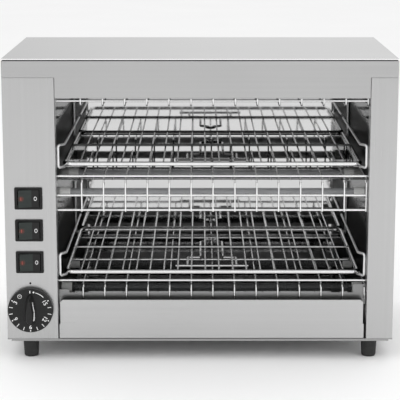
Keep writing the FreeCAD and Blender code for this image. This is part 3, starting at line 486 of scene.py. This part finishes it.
# Chamber liner
# Polished stainless sheets round the heating chamber, which mirror the tubes, wires and racks.
# The side walls are coloured dark, with brighter, glossier bands at the heights of the two upper rows of
# tubes.

BRIGHT_SHARES = ((150, 0.0), (178, 1.0), (204, 1.0), (212, 0.0), (270, 0.0), (280, 1.0))
BAND_TOP = 330.0


def clad(names, finish):
    """Give CAD parts a finish, with their shape kept."""
    for name in names:
        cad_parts[name].material_slots[0].material = finish.material


def bright_steel(name, level, glancing):
    """Polished stainless sheet with faint wipe marks, and its brightness at a glancing angle."""
    finish = Finish(name, Metallic=1.0, Specular_Tint=grey(glancing))
    wipe = finish.noise((9.0, 9.0, 30.0), detail=3.0)
    dust = finish.noise((700.0, 700.0, 700.0))
    finish.vary(
        Base_Color=finish.mix(wipe, grey(level * 0.9), grey(level * 1.08)),
        Roughness=wipe * 0.05 + dust * 0.03,
    )
    return finish


liner_bright = bright_steel("liner_bright", 0.57, 1.0)
liner_side = Finish("liner_side", Metallic=1.0, Specular_Tint=grey(0.4))
wall_place = liner_side.add("ShaderNodeTexCoord", output="Object")
wall_height = liner_side.add("ShaderNodeSeparateXYZ", {}, {0: wall_place}, output="Z")
height_share = wall_height * (1 / (BAND_TOP * MM))
stops = [(height / BAND_TOP, grey(share)) for height, share in BRIGHT_SHARES]
# Dark walls, with brighter and glossier bands set by height at the two upper rows of tubes.
bright_band = liner_side.add("ShaderNodeValToRGB", {"stops": stops}, {"Fac": height_share})
wall_dust = liner_side.noise((700.0, 700.0, 700.0))
liner_side.vary(
    Base_Color=liner_side.mix(bright_band, grey(0.02), grey(0.6)),
    Roughness=wall_dust * 0.04 + 0.34 - bright_band * 0.3,
)
rail_steel = satin_steel("steel_rail", "X", 0.26)
clad(["liner_back", "top_reflector", "crumb_tray_pan"], liner_bright)
clad(["liner_left", "liner_right"], liner_side)
dressed("cross_rail", "housing", rail_steel)


# Quartz tubes
# Three rows of two milky quartz tubes with ceramic caps, the bottom row painted dark as painted shade.
# A coil of heater wire runs through each tube, to a terminal stud at each end.

COIL_LEFT = -160.4 * MM
COIL_RIGHT = 188.6 * MM
COIL_RADIUS = 2.75 * MM
COIL_WIRE = 0.45 * MM
COIL_PITCH = 3.2 * MM
TUBE_YS = (-76 * MM, 46 * MM)
ROW_HEIGHTS = {"top": 310 * MM, "middle": 188 * MM, "bottom": 73 * MM}


def milky(name, level, gloss):
    """Frosted quartz glass with a faint cold tint."""
    finish = Finish(name, Roughness=0.12, Alpha=0.6, Specular_IOR_Level=gloss)
    frost = finish.noise((30.0, 300.0, 300.0), detail=1.0)
    finish.vary(Base_Color=finish.mix(frost, grey(level * 0.84, -0.02), grey(level * 1.17, -0.02)))
    return finish


quartz = milky("quartz", 0.36, 0.6)
# The bottom row's quartz is painted near black and less shiny, as painted shade low in the chamber.
shaded_quartz = milky("quartz_painted_shade", 0.07, 0.3)

ceramic = Finish("ceramic", Specular_IOR_Level=0.3)
ceramic_speck = ceramic.noise((1500.0, 1500.0, 1500.0))
ceramic.vary(
    Base_Color=ceramic.mix(ceramic_speck, (0.5, 0.5, 0.49, 1), (0.7, 0.7, 0.69, 1)),
    Roughness=ceramic_speck * 0.2 + 0.5,
)
ceramic.relief(ceramic_speck, 0.3, 0.05 * MM)

heater_wire = Finish("heater_wire", Metallic=1.0)
scale_marks = heater_wire.noise((400.0, 400.0, 400.0))
heater_wire.vary(
    Base_Color=heater_wire.mix(scale_marks, (0.16, 0.14, 0.13, 1), (0.3, 0.28, 0.26, 1)),
    Roughness=scale_marks * 0.2 + 0.35,
)

stud_metal = Finish("terminal_metal", Metallic=1.0)
stud_cloud = stud_metal.noise((300.0, 300.0, 300.0))
stud_metal.vary(
    Base_Color=stud_metal.mix(stud_cloud, (0.5, 0.5, 0.49, 1), (0.66, 0.65, 0.62, 1)),
    Roughness=stud_cloud * 0.15 + 0.3,
)


def coil_tree():
    """Winds one wire coil from each point, along X."""
    tree = bpy.data.node_groups.new("wound_coil", "GeometryNodeTree")
    inlet = tree.interface.new_socket
    inlet("Points", in_out="INPUT", socket_type="NodeSocketGeometry")
    for name in ("Length", "Coil Radius", "Wire Radius", "Turns"):
        inlet(name, in_out="INPUT", socket_type="NodeSocketFloat")
    inlet("Finish", in_out="INPUT", socket_type="NodeSocketMaterial")
    inlet("Pieces", in_out="OUTPUT", socket_type="NodeSocketGeometry")
    start = tree.nodes.new("NodeGroupInput")
    spiral = tree.nodes.new("GeometryNodeCurveSpiral")
    spiral.inputs["Resolution"].default_value = 10
    section = tree.nodes.new("GeometryNodeCurvePrimitiveCircle")
    section.inputs["Resolution"].default_value = 6
    wire = tree.nodes.new("GeometryNodeCurveToMesh")
    wire.inputs["Fill Caps"].default_value = True
    copies = tree.nodes.new("GeometryNodeInstanceOnPoints")
    copies.inputs["Rotation"].default_value = (0, math.radians(90), 0)
    real = tree.nodes.new("GeometryNodeRealizeInstances")
    coat = tree.nodes.new("GeometryNodeSetMaterial")
    end = tree.nodes.new("NodeGroupOutput")
    link = tree.links.new
    link(start.outputs["Turns"], spiral.inputs["Rotations"])
    link(start.outputs["Coil Radius"], spiral.inputs["Start Radius"])
    link(start.outputs["Coil Radius"], spiral.inputs["End Radius"])
    link(start.outputs["Length"], spiral.inputs["Height"])
    link(start.outputs["Wire Radius"], section.inputs["Radius"])
    link(spiral.outputs["Curve"], wire.inputs["Curve"])
    link(section.outputs["Curve"], wire.inputs["Profile Curve"])
    link(start.outputs["Points"], copies.inputs["Points"])
    link(wire.outputs["Mesh"], copies.inputs["Instance"])
    link(copies.outputs["Instances"], real.inputs["Geometry"])
    link(real.outputs["Geometry"], coat.inputs["Geometry"])
    link(start.outputs["Finish"], coat.inputs["Material"])
    link(coat.outputs["Geometry"], end.inputs["Pieces"])
    return tree


wound_coil = coil_tree()
coil_long = COIL_RIGHT - COIL_LEFT
for row, height in ROW_HEIGHTS.items():
    coils = shaped_by(
        row + "_coils", wound_coil, [(COIL_LEFT, y, height) for y in TUBE_YS],
        {
            "Length": coil_long, "Coil Radius": COIL_RADIUS, "Wire Radius": COIL_WIRE,
            "Turns": coil_long / COIL_PITCH, "Finish": heater_wire.material,
        },
    )
    coils.data.shade_smooth()
    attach(coils, "housing")
    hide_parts(row + "_heating_coils")
    dressed(row + "_ceramic_caps", "housing", ceramic, edge=0.6 * MM, steps=3)
    clad([row + "_quartz_tubes"], shaded_quartz if row == "bottom" else quartz)
    clad([row + "_terminal_studs"], stud_metal)


# Wire guards, guides and racks
# Chrome plated steel wire, spot welded where it crosses, in three guards, four guides and two racks.
# Its colour is painted darker inside the chamber as painted shade, most of all high up, and the front wires
# are painted bright as if lit.

LIT_UP_TO = -102 * MM
SHADED_FROM = -92 * MM
DEEP_SHADE_STARTS = 165 * MM
DEEP_SHADE_FROM = 190 * MM

chrome = Finish("chrome_wire", Metallic=1.0)
chrome_wear = chrome.noise((120.0, 120.0, 120.0))
wire_place = chrome.add("ShaderNodeTexCoord", output="Object")


def wire_share(axis, start, end):
    """A share that rises from 0 to 1 between two places along an axis."""
    along = chrome.add("ShaderNodeSeparateXYZ", {}, {0: wire_place}, output=axis)
    limits = {"Value": along, "From Min": start, "From Max": end, "To Min": 0.0, "To Max": 1.0}
    return chrome.add("ShaderNodeMapRange", {"interpolation_type": "SMOOTHSTEP"}, limits)


# Painted shade: darker inside the chamber and darkest above the middle row; painted light: bright wires at
# the front.
in_shade = wire_share("Y", LIT_UP_TO, SHADED_FROM)
lit_wire = chrome.mix(chrome_wear, grey(0.76), grey(0.88))
shaded_wire = chrome.mix(chrome_wear, grey(0.58), grey(0.74))
deep_shaded_wire = chrome.mix(chrome_wear, grey(0.09), grey(0.17))
inside_shade_wire = chrome.mix(wire_share("Z", DEEP_SHADE_STARTS, DEEP_SHADE_FROM), shaded_wire, deep_shaded_wire)
chrome.vary(
    Base_Color=chrome.mix(in_shade, lit_wire, inside_shade_wire),
    Roughness=chrome_wear * 0.08 + 0.16 - in_shade * 0.1,
)

# The guides get a brighter, partly diffuse copy of the chrome, painted light so that they look lamp-lit even
# at the back.
lit_guide_chrome = Finish("chrome_guide_painted_light", Metallic=0.7)
guide_wear = lit_guide_chrome.noise((120.0, 120.0, 120.0))
lit_guide_chrome.vary(
    Base_Color=lit_guide_chrome.mix(guide_wear, grey(0.86), grey(0.95)),
    Roughness=guide_wear * 0.1 + 0.28,
)
clad(["top_guard", "middle_guard_cage", "bottom_guard"], chrome)
clad([f"{level}_{side}_guide" for level in ("upper", "lower") for side in ("left", "right")], lit_guide_chrome)
clad([f"{level}_rack_{part}" for level in ("upper", "lower") for part in ("grid", "grip")], chrome)


# Crumb tray
# A satin steel front with folded ends, spot welded to a shallow bright pan.
# The tray slides between two folded zinc plated runners on the base plate.

steel_tray = satin_steel("steel_tray", "X", 0.53)
dressed("crumb_tray_front", "crumb_tray", steel_tray, edge=0.5 * MM, steps=3)
clad(["tray_runners"], zinc)


# Rocker switches
# Three snap-in switches: a glossy black bezel, and a smoky rocker whose right third is black.
# The rocker has a red line at its lit end and a white ring at the other, printed on its face.

CONTROL_X = -194.8 * MM
SWITCH_HEIGHTS = {"bottom": 117.1 * MM, "middle": 154.3 * MM, "top": 191.5 * MM}
VALLEY_X = CONTROL_X + 3.6 * MM
LIT_X = CONTROL_X - 8.2 * MM
RING_X = CONTROL_X + 8.0 * MM
LIT_DEPTH = FRONT - 3.5 * MM
GLOW_CORE = 0.8 * MM
GLOW_REACH = 4.6 * MM
LINE_WIDE = 0.9 * MM
LINE_TALL = 3.6 * MM
RING_OUTER = 1.7 * MM
RING_HOLE = 1.2 * MM
RING_STRETCH = 1.4
PRINT = 0.05 * MM

gloss_black = Finish("gloss_black", Specular_IOR_Level=0.2)
gloss_dust = gloss_black.noise((250.0, 250.0, 250.0), detail=3.0)
gloss_black.vary(
    Base_Color=gloss_black.mix(gloss_dust, grey(0.008), grey(0.016)),
    Roughness=gloss_dust * 0.1 + 0.14,
)

red_print = Finish("red_print", Roughness=0.35)
red_wear = red_print.noise((500.0, 500.0, 500.0))
red_print.vary(Base_Color=red_print.mix(red_wear, (0.2, 0.035, 0.025, 1), (0.3, 0.05, 0.035, 1)))

white_print_and_highlight = Finish("white_print_and_highlight", Roughness=0.45)
white_wear = white_print_and_highlight.noise((700.0, 700.0, 700.0))
white_print_and_highlight.vary(Base_Color=white_print_and_highlight.mix(white_wear, grey(0.72), grey(0.88)))


def smoky(name, height):
    """Smoked plastic with a dull red glow round the lit end, black past the valley."""
    finish = Finish(name, Specular_IOR_Level=0.25, Roughness=0.14)
    place = finish.add("ShaderNodeTexCoord", output="Object")
    from_lamp = finish.add(
        "ShaderNodeVectorMath", {"operation": "DISTANCE"},
        {0: place, 1: (LIT_X, LIT_DEPTH, height)}, output="Value",
    )
    glow = finish.add(
        "ShaderNodeMapRange", {"interpolation_type": "SMOOTHSTEP"},
        {"Value": from_lamp, "From Min": GLOW_CORE, "From Max": GLOW_REACH, "To Min": 1.0, "To Max": 0.0},
    )
    across = finish.add("ShaderNodeSeparateXYZ", {}, {0: place}, output="X")
    sheen = finish.noise((60.0, 60.0, 220.0), detail=1.0)
    smoke = finish.mix(sheen, (0.016, 0.019, 0.018, 1), (0.028, 0.036, 0.033, 1))
    lit = finish.mix(glow, smoke, (0.13, 0.035, 0.025, 1))
    finish.vary(Base_Color=finish.mix(across > VALLEY_X, lit, grey(0.01)))
    return finish


def ring(radius, hole, tall=1.0, steps=32):
    """A flat printed ring that faces the front, stretched upwards by a share."""
    mesh = bmesh.new()
    turns = [math.tau * i / steps for i in range(steps)]
    loops = [
        [mesh.verts.new((r * math.cos(turn), 0, tall * r * math.sin(turn))) for turn in turns]
        for r in (hole, radius)
    ]
    for i in range(steps):
        after = (i + 1) % steps
        mesh.faces.new((loops[0][i], loops[0][after], loops[1][after], loops[1][i]))
    return mesh


def bar(wide, tall):
    """A flat printed bar that faces the front."""
    mesh = bmesh.new()
    corners = [(-wide / 2, -tall / 2), (wide / 2, -tall / 2), (wide / 2, tall / 2), (-wide / 2, tall / 2)]
    mesh.faces.new([mesh.verts.new((x, 0, z)) for x, z in corners])
    return mesh


def thickened(mesh, way):
    """Give a flat mark a body, by a step from its front to its back."""
    skin = bmesh.ops.extrude_face_region(mesh, geom=mesh.faces[:])
    moved = [item for item in skin["geom"] if isinstance(item, bmesh.types.BMVert)]
    bmesh.ops.translate(mesh, vec=way, verts=moved)
    bmesh.ops.recalc_face_normals(mesh, faces=mesh.faces)
    return mesh


def printed_on(target, mesh, x, z):
    """Lay a flat mark on the front of a piece, as a thin layer of print."""
    tree = BVHTree.FromObject(target, bpy.context.evaluated_depsgraph_get())
    ahead = 30 * MM
    for vertex in mesh.verts:
        at = Vector((x + vertex.co.x, FRONT - ahead, z + vertex.co.z))
        hit = tree.ray_cast(at, Vector((0, 1, 0)))[0]
        vertex.co = hit + Vector((0, -PRINT, 0))
    return thickened(mesh, (0, PRINT * 2, 0))


for name, height in SWITCH_HEIGHTS.items():
    dressed(name + "_switch_body", "housing", gloss_black, edge=0.5 * MM, steps=3)
    lever = dressed(
        name + "_rocker", name + "_switch", smoky(name + "_smoke", height),
        edge=0.4 * MM, steps=3,
    )
    bpy.context.view_layer.update()
    line_mesh = printed_on(lever, bar(LINE_WIDE, LINE_TALL), LIT_X, height)
    line = made(name + "_on_line", line_mesh, red_print)
    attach(line, name + "_switch")
    ring_mesh = printed_on(lever, ring(RING_OUTER, RING_HOLE, RING_STRETCH), RING_X, height)
    circle = made(name + "_off_ring", ring_mesh, white_print_and_highlight)
    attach(circle, name + "_switch")


# Timer
# A clockwork timer behind the panel, on two screws, with a moulded black dial on its shaft.
# The dial has a raised tapered grip, and its minutes, hold arc and clock sign are printed in white; a thin
# white strip on the grip's right flank is a painted highlight.

TIMER_HEIGHT = 61.4 * MM
DIAL_FACE = -138 * MM
DIAL_BACK = -131 * MM
DIAL_RADIUS = 26 * MM
DIAL_HOLLOW = DIAL_FACE + 2.4 * MM
HUB_RADIUS = 8 * MM
SHAFT_HOLE = 3.05 * MM
SHAFT_HOLE_END = DIAL_FACE + 1.2 * MM
KNOB_FACE = -151 * MM
GRIP_HALF = 6.4 * MM
GRIP_TIP = 3.4 * MM
GRIP_UP = 20 * MM
GRIP_DOWN = 16 * MM
DRAFT = 2.6 * MM
ROUND = 1.5 * MM

clad(["timer_body", "timer_shaft", "timer_screws"], zinc)

moulded_black = Finish("moulded_black", Specular_IOR_Level=0.25)
spark = moulded_black.noise((1400.0, 1400.0, 1400.0))
touch = moulded_black.noise((45.0, 45.0, 45.0))
moulded_black.vary(
    Base_Color=moulded_black.mix(touch, grey(0.008), grey(0.019)),
    Roughness=spark * 0.12 + touch * 0.1 + 0.26,
)
moulded_black.relief(spark, 0.25, 0.03 * MM)


def upright_turned(outline):
    """A solid turned about the timer's shaft, from radius and depth pairs."""
    mesh = turned([(radius, -depth) for radius, depth in outline], steps=96)
    bmesh.ops.transform(mesh, matrix=Matrix.Rotation(math.radians(90), 4, "X"), verts=mesh.verts)
    bmesh.ops.translate(mesh, vec=(CONTROL_X, 0, TIMER_HEIGHT), verts=mesh.verts)
    bmesh.ops.recalc_face_normals(mesh, faces=mesh.faces)
    return mesh


def grip_side(share, inset):
    """A point on the grip's right side, by its share of the way up or down and how far it is drawn in."""
    if share < 0:
        half = GRIP_HALF * (1 - abs(share) ** 5) ** 0.45
        height = share * (GRIP_DOWN - inset)
    else:
        half = (GRIP_HALF - (GRIP_HALF - GRIP_TIP) * share) * (1 - share ** 9) ** 0.5
        height = share * (GRIP_UP - inset)
    return max(half - inset, 0.02 * MM), height


def grip_outline(inset, steps=28):
    """The grip's plan, drawn in by some distance: near parallel below, tapered above."""
    right = [grip_side(math.sin((i / steps - 0.5) * math.pi), inset) for i in range(steps + 1)]
    left = [(-half, height) for half, height in reversed(right)]
    return right + left


def grip_mesh():
    """The grip, lofted up from the dial's face with a draft and a rounded top edge."""
    mesh = bmesh.new()
    levels = [(0.0, DIAL_FACE + 0.3 * MM), (0.0, DIAL_FACE), (DRAFT, KNOB_FACE + ROUND)]
    for i in range(1, 6):
        bend = math.radians(18 * i)
        levels.append((DRAFT + ROUND * (1 - math.cos(bend)), KNOB_FACE + ROUND * (1 - math.sin(bend))))
    loops = [
        [mesh.verts.new((CONTROL_X + x, depth, TIMER_HEIGHT + z)) for x, z in grip_outline(inset)]
        for inset, depth in levels
    ]
    count = len(loops[0])
    for low, high in zip(loops, loops[1:]):
        for i in range(count):
            after = (i + 1) % count
            mesh.faces.new((low[i], low[after], high[after], high[i]))
    mesh.faces.new(loops[-1])
    mesh.faces.new(reversed(loops[0]))
    for face in mesh.faces:
        face.smooth = True
    bmesh.ops.recalc_face_normals(mesh, faces=mesh.faces)
    return mesh


dial_outline = [
    (0, DIAL_FACE), (DIAL_RADIUS - 1.4 * MM, DIAL_FACE), (DIAL_RADIUS - 0.7 * MM, DIAL_FACE + 0.15 * MM),
    (DIAL_RADIUS - 0.2 * MM, DIAL_FACE + 0.6 * MM), (DIAL_RADIUS, DIAL_FACE + 1.3 * MM),
    (DIAL_RADIUS, DIAL_BACK - 0.3 * MM), (DIAL_RADIUS - 0.3 * MM, DIAL_BACK),
    (DIAL_RADIUS - 2.1 * MM, DIAL_BACK), (DIAL_RADIUS - 2.4 * MM, DIAL_BACK - 0.3 * MM),
    (DIAL_RADIUS - 2.4 * MM, DIAL_HOLLOW), (HUB_RADIUS, DIAL_HOLLOW), (HUB_RADIUS, DIAL_BACK),
    (SHAFT_HOLE, DIAL_BACK), (SHAFT_HOLE, SHAFT_HOLE_END), (0, SHAFT_HOLE_END),
]
knob_mesh = upright_turned(dial_outline)
grip_data = bpy.data.meshes.new("grip")
grip_mesh().to_mesh(grip_data)
knob_mesh.from_mesh(grip_data)
knob = made("timer_knob_part", knob_mesh, moulded_black)
knob_edges = knob.modifiers.new("clean_shading", "WEIGHTED_NORMAL")
knob_edges.keep_sharp = True
knob.data.set_sharp_from_angle(angle=math.radians(35))
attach(knob, "timer_dial")
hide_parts("timer_knob")

MINUTES = {15: 60, 12: 120, 9: 180, 6: 240, 3: 300}
TICKS = (80, 100, 140, 160, 200, 220, 260, 280)
FIGURE_SIZE = 6.6 * MM
FIGURE_RADIUS = 19.2 * MM
TICK_WIDE = 0.75 * MM
MARK_WIDE = 1.1 * MM
TICK_IN = 20.3 * MM
TICK_OUT = 24.6 * MM
MARK_IN = 22.9 * MM
HOLD_RADIUS = 22.2 * MM
SIGN_RADIUS = 20.6 * MM
SIGN_ANGLE = 325

marks = bmesh.new()


def stamp(mesh, radius, angle):
    """Add a flat mark to the scale, at a radius and a clockwise angle from the top, top outwards."""
    place = Matrix.Translation((CONTROL_X, DIAL_FACE - PRINT, TIMER_HEIGHT))
    turn = Matrix.Rotation(math.radians(angle), 4, "Y")
    bmesh.ops.transform(mesh, matrix=place @ turn @ Matrix.Translation((0, 0, radius)), verts=mesh.verts)
    data = bpy.data.meshes.new("mark")
    mesh.to_mesh(data)
    mesh.free()
    marks.from_mesh(data)
    bpy.data.meshes.remove(data)


def sector(radius, wide, start, end, steps=16):
    """A flat arc about the dial's middle, between two angles."""
    mesh = bmesh.new()
    loops = [[], []]
    for i in range(steps + 1):
        angle = math.radians(start + (end - start) * i / steps)
        for loop, r in zip(loops, (radius - wide / 2, radius + wide / 2)):
            loop.append(mesh.verts.new((r * math.sin(angle), 0, r * math.cos(angle))))
    for i in range(steps):
        mesh.faces.new((loops[0][i], loops[1][i], loops[1][i + 1], loops[0][i + 1]))
    return mesh


def figure(text, size):
    """Printed digits as a flat mesh that faces the front."""
    curve = bpy.data.curves.new("digits", "FONT")
    curve.body = text
    curve.size = size
    curve.align_x = "CENTER"
    curve.align_y = "CENTER"
    curve.offset = size * 0.02
    curve.resolution_u = 4
    writer = bpy.data.objects.new("digits", curve)
    bpy.context.scene.collection.objects.link(writer)
    bpy.context.view_layer.update()
    flat = bpy.data.meshes.new_from_object(writer.evaluated_get(bpy.context.evaluated_depsgraph_get()))
    mesh = bmesh.new()
    mesh.from_mesh(flat)
    bmesh.ops.transform(mesh, matrix=Matrix.Rotation(math.radians(90), 4, "X"), verts=mesh.verts)
    bpy.data.objects.remove(writer)
    bpy.data.meshes.remove(flat)
    return mesh


for minutes, angle in MINUTES.items():
    stamp(figure(str(minutes), FIGURE_SIZE), FIGURE_RADIUS, angle)
    stamp(bar(MARK_WIDE, TICK_OUT - MARK_IN), (TICK_OUT + MARK_IN) / 2, angle)
for angle in TICKS:
    stamp(bar(TICK_WIDE, TICK_OUT - TICK_IN), (TICK_OUT + TICK_IN) / 2, angle)
stamp(bar(1.0 * MM, 3.0 * MM), HOLD_RADIUS, 0)
stamp(ring(1.0 * MM, 0.01 * MM, steps=20), HOLD_RADIUS, 11)
stamp(sector(HOLD_RADIUS, 0.8 * MM, 17, 44), 0, 0)
stamp(ring(2.5 * MM, 2.0 * MM), SIGN_RADIUS, SIGN_ANGLE)
stamp(bar(0.45 * MM, 1.6 * MM), SIGN_RADIUS + 0.8 * MM, SIGN_ANGLE)
hand = bar(1.3 * MM, 0.45 * MM)
bmesh.ops.translate(hand, vec=(0.6 * MM, 0, 0), verts=hand.verts)
stamp(hand, SIGN_RADIUS, SIGN_ANGLE)
scale_print = made("timer_scale_print", thickened(marks, (0, PRINT * 2, 0)), white_print_and_highlight)
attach(scale_print, "timer_dial")

# A thin white strip laid on the grip's right flank is a painted highlight, standing in for a lamp's
# reflection there; it shares the white print's finish.
HIGHLIGHT_TOP = 0.62
HIGHLIGHT_LOW = -0.72
HIGHLIGHT_MIDDLE = 0.5
HIGHLIGHT_TIP = 0.07
HIGHLIGHT_SPREAD = 0.15
HIGHLIGHT_STEPS = 12

grip_highlight = bmesh.new()
highlight_rows = []
for i in range(HIGHLIGHT_STEPS + 1):
    way = i / HIGHLIGHT_STEPS
    share = HIGHLIGHT_TOP + (HIGHLIGHT_LOW - HIGHLIGHT_TOP) * way
    half_wide = HIGHLIGHT_TIP + HIGHLIGHT_SPREAD * way
    row = []
    for part in (HIGHLIGHT_MIDDLE - half_wide, HIGHLIGHT_MIDDLE + half_wide):
        across, height = grip_side(share, DRAFT * part)
        depth = DIAL_FACE + (KNOB_FACE + ROUND - DIAL_FACE) * part
        row.append(grip_highlight.verts.new((CONTROL_X + across + PRINT, depth, TIMER_HEIGHT + height)))
    highlight_rows.append(row)
for high, low in zip(highlight_rows, highlight_rows[1:]):
    grip_highlight.faces.new((high[0], high[1], low[1], low[0]))
highlight_strip = made("timer_pointer_line", thickened(grip_highlight, (-PRINT * 4, 0, 0)), white_print_and_highlight)
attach(highlight_strip, "timer_dial")

INDEX_RADIUS = 1.2 * MM
INDEX_TALL = 0.2 * MM
INDEX_ABOVE = 30.6 * MM

index_outline = [(0, 0), (1.1 * MM, 0), (INDEX_RADIUS, 0.1 * MM), (INDEX_RADIUS, INDEX_TALL), (0, INDEX_TALL)]
index_mesh = turned(index_outline, steps=24)
index_place = (CONTROL_X, FRONT + 0.1 * MM, TIMER_HEIGHT + INDEX_ABOVE)
bmesh.ops.transform(index_mesh, matrix=Matrix.Rotation(math.radians(90), 4, "X"), verts=index_mesh.verts)
bmesh.ops.translate(index_mesh, vec=index_place, verts=index_mesh.verts)
index_dot = made("timer_index_dot", index_mesh, gloss_black)
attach(index_dot, "housing")


# Supply entry
# A black nylon gland clamped through the back panel by its nut, for a round supply cord.
# The cord's wires would end in the white moulded terminal block inside.

nylon = Finish("black_nylon", Specular_IOR_Level=0.4)
nylon_grain = nylon.noise((800.0, 800.0, 800.0))
nylon.vary(
    Base_Color=nylon.mix(nylon_grain, grey(0.02), grey(0.034)),
    Roughness=nylon_grain * 0.15 + 0.4,
)
nylon.relief(nylon_grain, 0.2, 0.04 * MM)
dressed("cable_gland", "housing", nylon, edge=0.7 * MM, steps=4)
dressed("gland_nut", "housing", nylon, edge=0.4 * MM)

block_plastic = Finish("white_plastic", Specular_IOR_Level=0.4)
block_cloud = block_plastic.noise((120.0, 120.0, 120.0))
block_plastic.vary(
    Base_Color=block_plastic.mix(block_cloud, (0.7, 0.7, 0.66, 1), (0.82, 0.82, 0.78, 1)),
    Roughness=block_cloud * 0.15 + 0.4,
)
dressed("terminal_block", "housing", block_plastic, edge=0.4 * MM)


# Floor, light and camera
# A plain pale floor under large soft lamps, in a room that metal reflects a little darker at the front.
# The camera stands before the oven, a little above it and tilted down.

CAMERA = Vector((0.0, -1.835, 0.533))
CAMERA_TILT = math.radians(11.39)
CAMERA_LENS = 137.8
FLOOR_HALF = 14.0
ROOM_LEVEL = 0.97
BACKDROP_LEVEL = 0.93
LIGHT_AIM = (0, 0, 0.15)

scene = bpy.context.scene
paper = Finish("paper_floor", Roughness=0.9, Specular_IOR_Level=0.1)
paper_cloud = paper.noise((3.0, 3.0, 3.0), detail=1.0)
paper.vary(Base_Color=paper.mix(paper_cloud, grey(0.93), grey(0.96)))
floor_mesh = bmesh.new()
floor_corners = [(-1, -1), (1, -1), (1, 1), (-1, 1)]
floor_mesh.faces.new([floor_mesh.verts.new((x * FLOOR_HALF, y * FLOOR_HALF, 0)) for x, y in floor_corners])
floor = made("floor", floor_mesh, paper)

world = bpy.data.worlds.new("studio")
scene.world = world
world.use_nodes = True
sky = world.node_tree
back_light = sky.nodes["Background"]
back_light.inputs["Color"].default_value = (1, 1, 1, 1)
path = sky.nodes.new("ShaderNodeLightPath")
direction = sky.nodes.new("ShaderNodeTexCoord")
axes = sky.nodes.new("ShaderNodeSeparateXYZ")
sky.links.new(direction.outputs["Generated"], axes.inputs[0])


def graded(axis, kind, starts, ends):
    """A level that runs between two places along one axis of the room."""
    level = sky.nodes.new("ShaderNodeMapRange")
    level.interpolation_type = kind
    level.inputs["From Min"].default_value = starts[0]
    level.inputs["From Max"].default_value = ends[0]
    level.inputs["To Min"].default_value = starts[1]
    level.inputs["To Max"].default_value = ends[1]
    sky.links.new(axes.outputs[axis], level.inputs["Value"])
    return level


behind = graded("Y", "LINEAR", (-0.35, 0.7), (0.35, 1.0))
sideways = graded("X", "SMOOTHSTEP", (-0.34, 0.68), (0.06, 1.03))
wall = sky.nodes.new("ShaderNodeMath")
wall.operation = "MULTIPLY"
sky.links.new(behind.outputs["Result"], wall.inputs[0])
sky.links.new(sideways.outputs["Result"], wall.inputs[1])
room = sky.nodes.new("ShaderNodeMix")
room.inputs["A"].default_value = ROOM_LEVEL
sky.links.new(path.outputs["Is Glossy Ray"], room.inputs["Factor"])
sky.links.new(wall.outputs["Value"], room.inputs["B"])
white = sky.nodes.new("ShaderNodeMix")
sky.links.new(path.outputs["Is Camera Ray"], white.inputs["Factor"])
sky.links.new(room.outputs["Result"], white.inputs["A"])
white.inputs["B"].default_value = BACKDROP_LEVEL
sky.links.new(white.outputs["Result"], back_light.inputs["Strength"])


def lamp(name, place, aim, wide, tall, watts):
    """A soft rectangular lamp."""
    light = bpy.data.lights.new(name, "AREA")
    light.shape = "RECTANGLE"
    light.size = wide
    light.size_y = tall
    light.energy = watts
    holder = bpy.data.objects.new(name, light)
    holder.location = place
    holder.rotation_euler = (Vector(aim) - Vector(place)).to_track_quat("-Z", "Y").to_euler()
    scene.collection.objects.link(holder)


lamp("key_light", (-1.3, -1.5, 1.7), LIGHT_AIM, 1.1, 1.1, 7.0)
lamp("fill_light", (1.6, -1.3, 1.1), LIGHT_AIM, 0.9, 1.2, 5.0)
lamp("top_light", (0.2, 0.4, 2.2), (0, 0, 0.2), 2.6, 2.0, 5.0)
lamp("front_light", (0.0, -2.2, 1.0), LIGHT_AIM, 2.4, 1.2, 4.5)

lens = bpy.data.cameras.new("camera")
lens.lens = CAMERA_LENS
camera = bpy.data.objects.new("camera", lens)
camera.location = CAMERA
camera.rotation_euler = (math.pi / 2 - CAMERA_TILT, 0, 0)
scene.collection.objects.link(camera)
scene.camera = camera
scene.view_settings.view_transform = "Standard"
